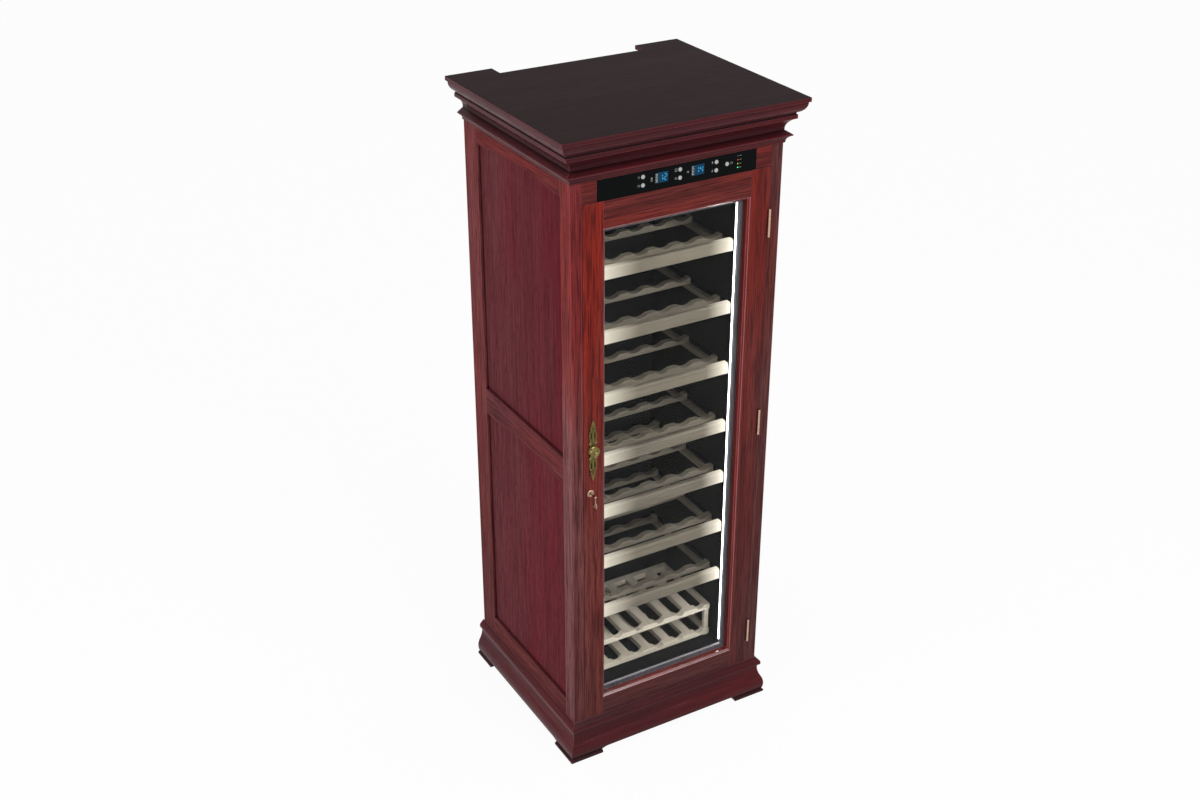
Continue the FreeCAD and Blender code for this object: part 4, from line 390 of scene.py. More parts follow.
def once(maker):
    """Builds each named material only the first time, on a tree and surface shader of its own."""

    def kept(name, *given, **look):
        if name not in FINISHES:
            FINISHES[name] = bpy.data.materials.new(name)
            FINISHES[name].use_nodes = True
            tree = FINISHES[name].node_tree
            maker(tree, tree.nodes["Principled BSDF"], *given, **look)
        return FINISHES[name]

    return kept


def placed_coordinates(tree, turn=(0, 0, 0)):
    """Object coordinates, turned for a pattern."""
    place = node_in(tree, "ShaderNodeTexCoord")
    mapping = node_in(tree, "ShaderNodeMapping", vector_type="POINT")
    feed(tree, mapping, Vector=place.outputs["Object"], Rotation=turn)
    return mapping.outputs["Vector"]


def rubbed_lit_and_shaded(tree, shade, edge, deep, look):
    """A colour rubbed along its edges with a painted highlight, and darkened in its hollows by painted shade
    and grime, where look asks for them.
    """
    # Rubbed edges, lightened by a painted highlight
    if edge is not None:
        wear_and_highlight = use_group(tree, "Edge wear", Radius=look["wear"], Amount=look["rub"])
        shade = blend_colour(tree, wear_and_highlight.outputs["Mask"], shade, edge)
    # Painted shade in hollows, with dark lines where parts meet and grime
    if look["hollow"]:
        parts = {"Reach": look["hollow"], "Amount": look["shade_and_dirt"], "Open": look["open"], "Shut": look["shut"]}
        shade = blend_colour(tree, use_group(tree, "Hollow", **parts).outputs["Mask"], shade, deep)
    return shade


def surfaced(tree, surface, pattern, shade, rough, depth, **plain):
    """Feeds a surface its colour, the roughness and relief of a pattern, and plain values."""
    relief = node_in(tree, "ShaderNodeBump")
    feed(tree, relief, Height=pattern.outputs["Height"], Distance=depth, Strength=1.0)
    dull = plus(tree, pattern.outputs["Roughness"], rough)
    feed(tree, surface, Base_Color=shade, Roughness=dull, Normal=relief.outputs["Normal"], **plain)


def strip_light(tree):
    """Light on both ends of the shelf fronts, where the light strips graze them."""
    axes = node_in(tree, "ShaderNodeSeparateXYZ")
    feed(tree, axes, Vector=node_in(tree, "ShaderNodeTexCoord").outputs["Object"])
    across = axes.outputs["X"]
    at_right = maths(tree, "GREATER_THAN", across, 0.0)
    start = plus(tree, times(tree, at_right, 0.075), 0.07)
    past = maths(tree, "SUBTRACT", maths(tree, "ABSOLUTE", across), start)
    reach = maths(tree, "SUBTRACT", SHELF_END, start)
    falloff = maths(tree, "POWER", maths(tree, "DIVIDE", past, reach, True), 1.3)
    return blend_colour(tree, falloff, (0.0, 0.0, 0.0, 1.0), tint("fff6e4"))


@once
def timber(tree, surface, direction, ground, streak, glow, edge=None, **look):
    """Timber with its grain in one direction. look holds how strong its marks, gloss and rubbed edges with
    their painted highlight are, and its painted hollow shade.
    """
    look = {**TIMBER_LOOK, **look}
    place = placed_coordinates(tree, GRAIN_TURN[direction])
    still = placed_coordinates(tree)
    for axis, start, stop, far_ground, far_glow in look["fades"]:
        fade = use_group(tree, "Fade", Vector=still, Axis=axis, Start=start, Stop=stop)
        ground = blend_colour(tree, fade.outputs["Share"], far_ground, ground)
        glow = blend_colour(tree, fade.outputs["Share"], far_glow, glow)
    grain = use_group(tree, "Timber", Vector=place, Ground=ground, Streak=streak, Glow=glow)
    feed(tree, grain, Streaking=look["streaking"], Pores=look["pores"], Figure=look["figure"])
    joint = bpy.context.scene.cabinet_timber.joint
    shade = rubbed_lit_and_shaded(tree, grain.outputs["Color"], edge, joint, look)
    surfaced(tree, surface, grain, shade, look["rough"], look["depth"], IOR=look["gloss"])
    if look["lit"]:
        feed(tree, surface, Emission_Color=strip_light(tree), Emission_Strength=1.0)


@once
def moulded(tree, surface, ground, other, rough, metal=0.0, **look):
    """Plastic, rubber, cast or plated metal with a fine speckle."""
    look = {**CAST_LOOK, **look}
    cast = use_group(tree, "Speckle", Vector=placed_coordinates(tree), Ground=ground, Other=other)
    feed(tree, cast, Patch_Scale=look["patch"], Grain_Scale=look["grain"], Contrast=look["contrast"])
    shade = rubbed_lit_and_shaded(tree, cast.outputs["Color"], look["edge"], look["deep"], look)
    surfaced(tree, surface, cast, shade, rough, look["depth"])
    feed(tree, surface, Metallic=metal, Specular_IOR_Level=look["shine"])


@once
def brushed(tree, surface, direction, ground, rough, contrast=0.2, depth=0.00002, metal=1.0):
    """Brushed or drawn metal."""
    place = placed_coordinates(tree, GRAIN_TURN[direction])
    lines = use_group(tree, "Brushed", Vector=place, Ground=ground, Contrast=contrast)
    surfaced(tree, surface, lines, lines.outputs["Color"], rough, depth, Metallic=metal)


@once
def glowing(tree, surface, shade, strength):
    """A lit diffuser or display mark."""
    feed(tree, surface, Base_Color=shade, Roughness=0.4, IOR=1.15)
    feed(tree, surface, Emission_Color=shade, Emission_Strength=strength)


@once
def smeared_glass(tree, surface):
    """Clear coated glass, faintly smeared."""
    smear = noise(tree, placed_coordinates(tree), (3.0, 3.0, 9.0), 3.0)
    feed(tree, surface, Base_Color=(0.945, 0.95, 0.95, 1.0), Transmission_Weight=1.0, IOR=1.1)
    feed(tree, surface, Roughness=spread(tree, smear, 0.4, 0.7, 0.0, 0.015))


def stained(kind, direction, ground, glow, edge=None, **look):
    """Mahogany of one kind of board."""
    colours = bpy.context.scene.cabinet_timber
    edge = edge or colours.edge
    return timber(f"mahogany {kind}", direction, ground, colours.streak, glow, edge, **look)


def mahogany(direction):
    """The stained mahogany of the case and door."""
    colours = bpy.context.scene.cabinet_timber
    # Painted shade and reflection: the ground turns greyer and darker towards the foot
    look = {"fades": [((0, 0, 1), 0.2, 1.35, colours.low, tint("5a2c29"))], "streaking": 0.8}
    return stained(direction, direction, colours.ground, colours.glow, figure=0.12, hollow=0.005, **look)


def side_timber(direction):
    """Rosier boards of the cabinet's sides: a lighter copy of the stain that paints the light on the side
    faces, greyer towards the foot as painted shade and reflection.
    """
    ground = bpy.context.scene.cabinet_timber.side if direction == "upright" else tint("6d373c")
    # Painted shade and reflection towards the foot of the sides
    look = {"fades": [((0, 0, 1), 0.1, 1.1, tint("6c3a3b"), tint("6e3636"))], "pores": 0.7, "gloss": 1.05}
    return stained(f"side {direction}", direction, ground, tint("7d3533"), figure=0.08, hollow=0.006, **look)


# Ground, glow, low ground, low glow and, on some, head ground and head glow. The low tones are painted shade
# and reflection towards the foot.
BOARD_TONES = {
    "left post": ("7c4b4a", "803f39", "613737", "643434", "80393e", "843030"),
    "right post": ("5e3a39", "68332d", "63403f", "633a38"),
    # Lighter tones of the posts' side faces: a painted highlight
    "post side": ("92585b", "8c4a48", "7d4a4c", "7a4644", "9b3e3f", "943330"),
    "lock stile": ("75352f", "8a2a20", "693d3b", "6c3834"),
}


def board_timber(board):
    """Boards whose colour differs from the rest: ground and glow above, below and, on some, at the head. The
    greyer tones below are painted shade and reflection towards the foot.
    """
    tones = [tint(code) for code in BOARD_TONES[board]]
    # Painted shade and reflection towards the foot
    fades = [((0, 0, 1), 0.2, 1.25, tones[2], tones[3])]
    if len(tones) > 4:
        fades.append(((0, 0, 1), 1.48, 1.08, tones[4], tones[5]))
    look = {"fades": fades, "streaking": 0.8, "figure": 0.12, "gloss": 1.1, "hollow": 0.005}
    return stained(board, "upright", tones[0], tones[1], **look)


def bead_timber(direction, gloss):
    """The polished beads round the glass, their arrises bright with a painted highlight."""
    colours = bpy.context.scene.cabinet_timber
    # Bright arrises: a painted highlight
    tones = (colours.ground, colours.glow, tint("b57a80"))
    look = {"pores": 0.4, "figure": 0.05, "rub": 0.9, "wear": 0.0035, "rough": 0.16, "hollow": 0.004}
    return stained(f"bead {direction}", direction, *tones, gloss=gloss, **look)


def moulding_timber(direction):
    """The darker ground of the run mouldings, partly deeper stain and partly painted shade, rosier and lighter
    on the side lengths as painted light.
    """
    colours = bpy.context.scene.cabinet_timber
    tones = (colours.moulding, tint("571c20"))
    if direction == "deep":
        tones = (colours.side_moulding, tint("66292d"))
    look = {"pores": 0.5, "figure": 0.08, "rub": 0.6, "wear": 0.0025, "rough": 0.28, "gloss": 1.17}
    # Painted shade in the cove and under the overhangs
    shade_and_dirt = {"hollow": 0.03, "shade_and_dirt": 0.95, "open": 0.95, "shut": 0.62}
    return stained(f"moulding {direction}", direction, *tones, **look, **shade_and_dirt)


def panel_timber():
    """The closer, more even veneer of the side panels, lighter and greyer towards the rear as painted light.
    """
    tones = (bpy.context.scene.cabinet_timber.panel, tint("341016"), tint("70242e"))
    look = {"streaking": 0.4, "pores": 0.9, "figure": 0.05, "rough": 0.42, "gloss": 1.04, "hollow": 0.012}
    # Painted light: lighter and greyer towards the rear of the panel
    fades = [((0, -1, 0), -0.26, 0.22, tint("6c393d"), tint("6c3a3e"))]
    return timber("mahogany panel", "upright", *tones, fades=fades, **look)


def dark_top():
    """The near-black lacquered top board."""
    tones = (bpy.context.scene.cabinet_timber.top, tint("1a1012"), tint("2d1e20"))
    look = {"streaking": 0.25, "pores": 0.25, "figure": 0.0, "rough": 0.4, "gloss": 1.055, "depth": 0.00004}
    return timber("dark top", "across", *tones, **look)


def beech(direction="across", lit=False):
    """Oiled beech of the shelves, darkened as painted shade inside the cabin. The front strips are lit at
    their ends.
    """
    name = "lit beech" if lit else f"shelf beech {direction}"
    shelf = bpy.context.scene.cabinet_timber.shelf
    tones = (shelf, tint("554d41"), tint("837a6a"), tint("b5ad9b"))
    return timber(name, direction, *tones, streaking=0.35, pores=0.4, figure=0.1, rough=0.34, lit=lit)


def pale_beech(direction="across"):
    """Paler beech of the bottle rack."""
    rack = bpy.context.scene.cabinet_timber.rack
    tones = (rack, tint("9c8f7b"), tint("d9cfbd"), tint("e6ddcc"))
    return timber(f"rack beech {direction}", direction, *tones, streaking=0.3, pores=0.35, figure=0.1)


def carcass_board():
    """Unfinished board inside the case."""
    tones = (bpy.context.scene.cabinet_timber.carcass, tint("7b6044"), tint("b5966f"))
    return timber("carcass board", "across", *tones, rough=0.5, streaking=0.4)


def dark_brass():
    """Tarnished ground of the brass, between its raised lines."""
    look = {"patch": 300.0, "hollow": 0.002, "depth": 0.0001}
    return moulded("tarnished brass", tint("645a2f"), tint("2c2713"), 0.34, 0.8, **look)


def antique_brass():
    """Cast brass with dark hollows and rubbed edges."""
    tones = (bpy.context.scene.cabinet_fittings.brass, tint("7a6a38"))
    look = {"patch": 240.0, "edge": tint("e6d79b"), "rub": 0.7, "wear": 0.0005, "depth": 0.0001}
    # Dark patina and painted shade in the hollows
    shade_and_dirt = {"hollow": 0.0035, "shade_and_dirt": 0.9, "open": 0.9, "shut": 0.45, "deep": tint("15110a")}
    return moulded("antique brass", *tones, 0.2, 1.0, **look, **shade_and_dirt)


def hinge_plating():
    """Pale plated hinge metal."""
    tones = (bpy.context.scene.cabinet_fittings.hinge, tint("a58570"))
    return moulded("hinge plating", *tones, 0.24, 1.0, patch=90.0)


def key_metal():
    """Copper-toned plating of the key and its rose."""
    tones = (bpy.context.scene.cabinet_fittings.key, tint("7a5b4a"))
    look = {"patch": 200.0, "edge": tint("f0dcca"), "rub": 0.8, "hollow": 0.002, "deep": tint("2a1a14")}
    return moulded("key metal", *tones, 0.18, 1.0, **look)


def button_metal():
    """Metallised plastic of the buttons."""
    tones = (bpy.context.scene.cabinet_fittings.button, tint("a2a2a0"))
    return moulded("button metal", *tones, 0.3, 0.3, contrast=0.25)


def panel_gloss():
    """Black acrylic of the control panel."""
    look = {"contrast": 0.4, "shine": 0.05, "depth": 0.00001}
    return moulded("panel gloss", tint("050607"), tint("080a0a"), 0.1, **look)


def stock_finishes():
    """Materials by the record's slot name."""
    lit = bpy.context.scene.cabinet_fittings
    return {
        "mahogany": mahogany("upright"),
        "mahogany_panel": panel_timber(),
        "dark_top": dark_top(),
        "carcass_wood": carcass_board(),
        "shelf_wood": beech(),
        "rack_wood": pale_beech(),
        "olive_brass": antique_brass(),
        "hinge_brass": hinge_plating(),
        "key_metal": key_metal(),
        "lock_steel": brushed("lock steel", "across", tint("a9a9a6"), 0.25),
        "panel_black": panel_gloss(),
        "display_window": panel_gloss(),
        "button_silver": button_metal(),
        "liner_black": moulded("liner black", tint("0b0c0d"), tint("121315"), 0.45, grain=1400.0, shine=0.12),
        "foam": moulded("foam", tint("d8cfa8"), tint("c7bb8d"), 0.7),
        "plated_sheet": brushed("plated sheet", "upright", tint("9c9fa1"), 0.35, 0.25),
        "machine_black": moulded("machine black", tint("121212"), tint("1c1c1c"), 0.35, shine=0.45),
        "copper_pipe": brushed("copper pipe", "upright", tint("c8805a"), 0.22, 0.3),
        "plain_aluminium": brushed("plain aluminium", "across", tint("c7c9ca"), 0.28, 0.2),
        "light_diffuser": glowing("light diffuser", lit.lamp, lit.lamp_level),
        "fan_plastic": moulded("fan plastic", tint("1a1b1c"), tint("232425"), 0.4),
        "seal_rubber": moulded("seal rubber", tint("141414"), tint("1f1f1f"), 0.55, shine=0.2),
        "clear_glass": smeared_glass("clear glass"),
    }


# Modelling helpers


def clear_selection():
    """Leaves edit mode and deselects everything."""
    if bpy.context.object and bpy.context.object.mode != "OBJECT":
        bpy.ops.object.mode_set(mode="OBJECT")
    bpy.ops.object.select_all(action="DESELECT")


def take(piece):
    """Makes a piece the only selected and active one."""
    clear_selection()
    piece.select_set(True)
    bpy.context.view_layer.objects.active = piece


def edit(piece):
    """Opens a piece in edit mode with its whole mesh selected."""
    take(piece)
    bpy.ops.object.mode_set(mode="EDIT")
    bpy.ops.mesh.select_all(action="SELECT")


def done():
    """Back to object mode."""
    bpy.ops.object.mode_set(mode="OBJECT")


def added(name):
    """The piece that was just added, named."""
    bpy.context.object.name = name
    return bpy.context.object


def removed(piece):
    """Deletes a form that was only copied from."""
    take(piece)
    bpy.ops.object.delete()


def settle(piece):
    """Puts a piece's place, turn and size into its mesh."""
    take(piece)
    bpy.ops.object.transform_apply(location=True, rotation=True, scale=True)


def merged(piece):
    """Joins a piece's doubled points and turns its faces outwards."""
    edit(piece)
    bpy.ops.mesh.remove_doubles(threshold=0.00002)
    bpy.ops.mesh.normals_make_consistent(inside=False)
    done()


def modified(piece, kind, **settings):
    """Applies one modifier to a piece."""
    take(piece)
    step = piece.modifiers.new(kind.title(), kind)
    for option, value in settings.items():
        setattr(step, option, value)
    bpy.ops.object.modifier_apply(modifier=step.name)


def smooth(piece, angle=32):
    """Shades a piece smooth below an angle."""
    take(piece)
    bpy.ops.object.shade_smooth_by_angle(angle=math.radians(angle))


def rounded(piece, width, segments=2, angle=28):
    """Rounds a piece's sharp edges and shades it evenly."""
    look = {"limit_method": "ANGLE", "angle_limit": math.radians(angle), "miter_outer": "MITER_ARC"}
    modified(piece, "BEVEL", width=width, segments=segments, **look)
    smooth(piece)
    modified(piece, "WEIGHTED_NORMAL", keep_sharp=True)


def paint(piece, *materials, pick=None):
    """Gives a piece its materials. pick chooses one for each face by its centre and normal."""
    piece.data.materials.clear()
    for material in materials:
        piece.data.materials.append(material)
    if pick:
        for face in piece.data.polygons:
            face.material_index = pick(face.center, face.normal)


def hand_over(piece, body, slot, *stands_for):
    """Fixes a piece to its body and hides the nodes that it stands for. Its slot is not used."""
    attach(piece, body)
    if stands_for:
        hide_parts(*stands_for)


def copied(node, name):
    """A merged copy of a node's mesh with its flat faces whole."""
    piece = bpy.data.objects.new(name, nodes[node].data.copy())
    bpy.context.scene.collection.objects.link(piece)
    edit(piece)
    bpy.ops.mesh.remove_doubles(threshold=0.00001)
    bpy.ops.mesh.select_all(action="DESELECT")
    bpy.ops.mesh.select_interior_faces()
    bpy.ops.mesh.delete(type="FACE")
    bpy.ops.mesh.select_all(action="SELECT")
    bpy.ops.mesh.dissolve_limited(angle_limit=math.radians(0.6))
    done()
    return piece


def dressed(node, name, body, slot, *materials, width=0.0, segments=2, angle=28, pick=None):
    """A copy of a node with rounded edges and its finishes, which stands for it."""
    piece = copied(node, name)
    if width:
        rounded(piece, width, segments, angle)
    paint(piece, *materials, pick=pick)
    hand_over(piece, body, slot, node)


def outline_face(name, points):
    """A filled outline through points in metres."""
    clear_selection()
    bpy.ops.mesh.primitive_circle_add(vertices=len(points), fill_type="NGON")
    piece = added(name)
    for vertex, point in zip(piece.data.vertices, points):
        vertex.co = point
    return piece


def extruded(piece, offset):
    """Draws an outline out to a solid."""
    edit(piece)
    bpy.ops.mesh.extrude_region_move(TRANSFORM_OT_translate={"value": offset})
    bpy.ops.mesh.select_all(action="SELECT")
    bpy.ops.mesh.normals_make_consistent(inside=False)
    done()


def sawn(piece, point, outward):
    """Cuts a piece at a plane, keeps the side behind it and closes the cut."""
    edit(piece)
    bpy.ops.mesh.bisect(plane_co=point, plane_no=outward, use_fill=True, clear_outer=True)
    done()


def joined(name, parts):
    """One piece of several."""
    clear_selection()
    for part in parts:
        part.select_set(True)
    bpy.context.view_layer.objects.active = parts[0]
    bpy.ops.object.join()
    return added(name)


def placed_copy(piece, name, offset):
    """A moved copy of a piece with its own mesh."""
    take(piece)
    bpy.ops.object.duplicate()
    copy = added(name)
    copy.location = offset
    settle(copy)
    return copy


def turned(name, profile, centre, way=(0, -1, 0), steps=56):
    """A solid spun from (radius, reach) pairs in millimetres round an axis that leaves centre along way."""
    clear_selection()
    bpy.ops.mesh.primitive_circle_add(vertices=len(profile), fill_type="NOTHING")
    piece = added(name)
    for vertex, (radius, reach) in zip(piece.data.vertices, profile):
        vertex.co = Vector(centre) + Vector((radius * MM, 0, 0)) + Vector(way) * reach * MM
    edit(piece)
    bpy.ops.mesh.select_mode(type="EDGE")
    bpy.ops.mesh.select_all(action="DESELECT")
    done()
    # The edge that closes the profile along the axis goes
    for edge in piece.data.edges:
        edge.select = all(profile[index][0] == 0 for index in edge.vertices)
    bpy.ops.object.mode_set(mode="EDIT")
    bpy.ops.mesh.delete(type="EDGE")
    bpy.ops.mesh.select_mode(type="VERT")
    bpy.ops.mesh.select_all(action="SELECT")
    bpy.ops.mesh.spin(steps=steps, angle=2 * math.pi, center=centre, axis=way)
    done()
    merged(piece)
    smooth(piece, 35)
    return piece


def printed(name, outlines, face, thick):
    """Thin flat marks on a front face. Each outline is a list of (across, up) in millimetres."""
    marks = [outline_face(name, [(across * MM, face, up * MM) for across, up in shape]) for shape in outlines]
    piece = joined(name, marks)
    extruded(piece, (0, -thick, 0))
    return piece


def bead(name, place, radius):
    """A small ball."""
    clear_selection()
    bpy.ops.mesh.primitive_ico_sphere_add(subdivisions=2, radius=radius, location=place)
    piece = added(name)
    settle(piece)
    return piece


def tube(name, points, radius):
    """A round bar along points in metres."""
    line = bpy.data.curves.new(name, "CURVE")
    line.dimensions = "3D"
    line.bevel_depth = radius
    line.bevel_resolution = 2
    line.use_fill_caps = True
    run = line.splines.new("POLY")
    run.points.add(len(points) - 1)
    for spot, point in zip(run.points, points):
        spot.co = (*point, 1.0)
    piece = bpy.data.objects.new(name, line)
    bpy.context.scene.collection.objects.link(piece)
    take(piece)
    bpy.ops.object.convert(target="MESH")
    piece = bpy.context.object
    merged(piece)
    smooth(piece, 60)
    return piece


def arc_points(start, end, bulge, count):
    """Points of an arc from start up to but not with end. A positive bulge lies to the left of the way."""
    along = Vector(end) - Vector(start)
    half = along.length / 2
    if abs(bulge) < 1e-9:
        return [tuple(start)]
    radius = (half * half + bulge * bulge) / (2 * abs(bulge))
    side = Vector((-along.y, along.x)).normalized() * (1 if bulge > 0 else -1)
    centre = (Vector(start) + Vector(end)) / 2 - side * (radius - abs(bulge))
    sweep = 2 * math.asin(min(1.0, half / radius)) * (-1 if bulge > 0 else 1)
    turns = [Matrix.Rotation(sweep * step / count, 2) for step in range(count)]
    return [tuple(centre + turn @ (Vector(start) - centre)) for turn in turns]


def traced(outline, count=8):
    """Outline points in order. Each entry is across, up and the bulge of the run that follows it."""
    points = []
    for index, (across, up, bulge) in enumerate(outline):
        after = outline[(index + 1) % len(outline)]
        points += arc_points((across, up), after[:2], bulge, count)
    return points


# Mouldings

CASE_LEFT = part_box("front_posts")[0].x
CASE_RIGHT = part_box("front_posts")[1].x
CASE_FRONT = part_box("front_posts")[0].y
# How far the moulding stands out, its height and the bulge of the run that follows, in millimetres
CROWN_OUTLINE = [
    (0, 1908, 0), (43, 1908, 6.5), (21.5, 1877, 0), (21.5, 1872, 0), (24.5, 1872, 0),
    (24.5, 1861, -5), (1, 1835, 0), (1, 1829, 0), (0, 1829, 0),
]
NECK_OUTLINE = [
    (0, 1829, 0), (18.3, 1817, 0), (18.3, 1814, -2.5), (4, 1800, 0), (4, 1795, 0), (0, 1792, 0),
]


def moulding_length(name, direction, points, offset, cuts):
    """One length of a moulding, sawn at its mitres."""
    piece = outline_face(name, points)
    extruded(piece, offset)
    for edge, outward in cuts:
        sawn(piece, (edge, CASE_FRONT, 0), outward)
    rounded(piece, bpy.context.scene.cabinet_sizes.moulding_edge)
    paint(piece, moulding_timber(direction))
    return piece


def moulding_lengths(node, outline):
    """The front and two side lengths of a mitred moulding."""
    low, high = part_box(node)
    section = traced([(out * MM, up * MM, bulge * MM) for out, up, bulge in outline])
    points = [(low.x, CASE_FRONT - out, up) for out, up in section]
    cuts = [(CASE_LEFT, (-1, 1, 0)), (CASE_RIGHT, (1, 1, 0))]
    lengths = [moulding_length(f"{node}_front", "across", points, (high.x - low.x, 0, 0), cuts)]
    for side, edge, way in (("left", CASE_LEFT, -1), ("right", CASE_RIGHT, 1)):
        points = [(edge + way * out, low.y, up) for out, up in section]
        cuts = [(edge, (-way, -1, 0))]
        lengths.append(moulding_length(f"{node}_{side}", "deep", points, (0, high.y - low.y, 0), cuts))
    for piece in lengths:
        hand_over(piece, "cabinet", "mahogany", node)


class CABINET_OT_mouldings(bpy.types.Operator):
    """Crown and neck mouldings, mitred at the front corners"""

    bl_idname = "cabinet.mouldings"
    bl_label = "Mouldings"

    def execute(self, context):
        moulding_lengths("crown_moulding", CROWN_OUTLINE)
        moulding_lengths("neck_moulding", NECK_OUTLINE)
        return {"FINISHED"}


class CABINET_OT_plinth(bpy.types.Operator):
    """Plinth moulding on bracket feet"""

    bl_idname = "cabinet.plinth"
    bl_label = "Plinth"

    def execute(self, context):
        def by_mitre(centre, normal):
            reach = min(centre.x - CASE_LEFT, CASE_RIGHT - centre.x)
            return 0 if centre.y - CASE_FRONT < reach else 1

        stains = (moulding_timber("across"), moulding_timber("deep"))
        place = ("plinth_moulding", "plinth_lengths", "cabinet", "mahogany")
        dressed(*place, *stains, width=0.0008, pick=by_mitre)
        return {"FINISHED"}


# Frame of the case and door

BOARDS = [
    ("front_posts", "upright", "cabinet"),
    ("rear_stiles", "upright", "cabinet"),
    ("side_rails", "deep", "cabinet"),
    ("face_rails", "across", "cabinet"),
    ("door_stiles", "upright", "door"),
    ("door_rails", "across", "door"),
]


def on_right(centre, normal):
    """First finish on the left, second on the right."""
    return 0 if centre.x < 0 else 1


def by_post(centre, normal):
    """Third finish, the lighter one with a painted highlight, on the posts' sides."""
    return 2 if abs(normal.x) > 0.7 else on_right(centre, normal)


class CABINET_OT_boards(bpy.types.Operator):
    """Posts, stiles, rails and panels of the case and door"""

    bl_idname = "cabinet.boards"
    bl_label = "Frame boards"

    def execute(self, context):
        posts = [board_timber(board) for board in ("left post", "right post", "post side")]
        own = {
            "front_posts": (posts, by_post),
            "door_stiles": ([board_timber("lock stile"), mahogany("upright")], on_right),
            "rear_stiles": ([side_timber("upright")], None),
            "side_rails": ([side_timber("deep")], None),
        }
        for node, direction, body in BOARDS:
            stains, pick = own.get(node, ([mahogany(direction)], None))
            edge = context.scene.cabinet_sizes.board_edge
            dressed(node, f"{node}_boards", body, "mahogany", *stains, width=edge, pick=pick)
        place = ("side_panels", "side_panels_veneered", "cabinet", "mahogany_panel")
        dressed(*place, panel_timber(), width=0.0005, segments=1)
        return {"FINISHED"}


class CABINET_OT_top(bpy.types.Operator):
    """Dark top board with softened edges"""

    bl_idname = "cabinet.top"
    bl_label = "Top board"

    def execute(self, context):
        def edge_or_face(centre, normal):
            if normal.z > 0.7:
                return 0
            return 1 if abs(normal.y) > abs(normal.x) else 2

        stains = (dark_top(), moulding_timber("across"), moulding_timber("deep"))
        place = ("top_board", "top_board_lacquered", "cabinet", "dark_top")
        dressed(*place, *stains, width=0.001, pick=edge_or_face)
        return {"FINISHED"}


class CABINET_OT_beads(bpy.types.Operator):
    """Bevelled beads around the glass"""

    bl_idname = "cabinet.beads"
    bl_label = "Glazing beads"

    def execute(self, context):
        low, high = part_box("glazing_beads")
        centre_line = middle("glazing_beads")

        def by_length(centre, normal):
            rise = (high.z - low.z) / 2 - abs(centre.z - centre_line.z)
            inset = (high.x - low.x) / 2 - abs(centre.x - centre_line.x)
            return 0 if inset < rise else 1

        stains = (bead_timber("upright", 1.15), bead_timber("across", 1.9))
        place = ("glazing_beads", "glazing_bead_lengths", "door", "mahogany")
        dressed(*place, *stains, width=0.0005, pick=by_length)
        return {"FINISHED"}


# Control panel, its marks in millimetres

PANEL_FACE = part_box("fascia")[0].y
CONTROL_LINE = middle("button_power").z
BUTTONS = [f"button_{side}_{row}" for side in ("left", "middle", "right") for row in ("up", "down")]
BUTTONS.append("button_power")
BUTTON_PROFILE = [
    (0, -5.5), (6.8, -5.5), (6.8, -4.3), (5.6, -4.3), (5.6, 0.9), (5.45, 1.25), (5.15, 1.5), (4.75, 1.6),
    (4.4, 1.55), (4.15, 1.3), (3.8, 1.3), (3.5, 1.5), (2.6, 1.42), (1.3, 1.34), (0, 1.3),
]
LIGHT_PITCH = 10.4
DISPLAY_OFFSET = 54.4
# Bars of the lit digits, as (across, up, is upright) in a cell one wide and two high
DIGIT_BARS = {
    "top": (0.5, 2.0, False),
    "upper left": (0.0, 1.5, True),
    "upper right": (1.0, 1.5, True),
    "middle": (0.5, 1.0, False),
    "lower left": (0.0, 0.5, True),
    "lower right": (1.0, 0.5, True),
    "foot": (0.5, 0.0, False),
}
DIGITS = {
    "1": ("upper right", "lower right"),
    "2": ("top", "upper right", "middle", "lower left", "foot"),
    "4": ("upper left", "upper right", "middle", "lower right"),
}


def bar_mark(across, up, wide, high):
    """Outline of a small upright rectangle."""
    corners = ((-1, -1), (1, -1), (1, 1), (-1, 1))
    return [(across + wide / 2 * side, up + high / 2 * rise) for side, rise in corners]


def star_mark(across, up, arms, inner, outer):
    """Outline of a star."""
    points = []
    for index in range(arms * 2):
        reach = outer if index % 2 == 0 else inner
        angle = math.pi * index / arms + math.pi / 2
        points.append((across + reach * math.cos(angle), up + reach * math.sin(angle)))
    return points


def ring_mark(across, up, inner, outer, start, stop):
    """Outline of part of a ring between two angles in degrees."""
    steps = 16
    angles = [math.radians(start + (stop - start) * index / steps) for index in range(steps + 1)]
    rim = [(across + outer * math.cos(a), up + outer * math.sin(a)) for a in angles]
    return rim + [(across + inner * math.cos(a), up + inner * math.sin(a)) for a in reversed(angles)]


def frame_mark(across, up, wide, high, line):
    """Outlines of the four bars of a small box."""
    flat = [bar_mark(across, up + way * high / 2, wide + line, line) for way in (1, -1)]
    return flat + [bar_mark(across + way * wide / 2, up, line, high - line) for way in (-1, 1)]


def digit_marks(figure, across, up, wide, line):
    """Outlines of a lit digit whose lower left corner is at (across, up)."""
    outlines = []
    half = wide / 2 - line * 0.62
    for bar in DIGITS[figure]:
        x, z, upright = DIGIT_BARS[bar]
        tips = [(half, 0), (half - line / 2, line / 2), (line / 2 - half, line / 2)]
        tips += [(-half, 0), (line / 2 - half, -line / 2), (half - line / 2, -line / 2)]
        if upright:
            tips = [(-b, a) for a, b in tips]
        outlines.append([(across + x * wide + a, up + z * wide + b) for a, b in tips])
    return outlines


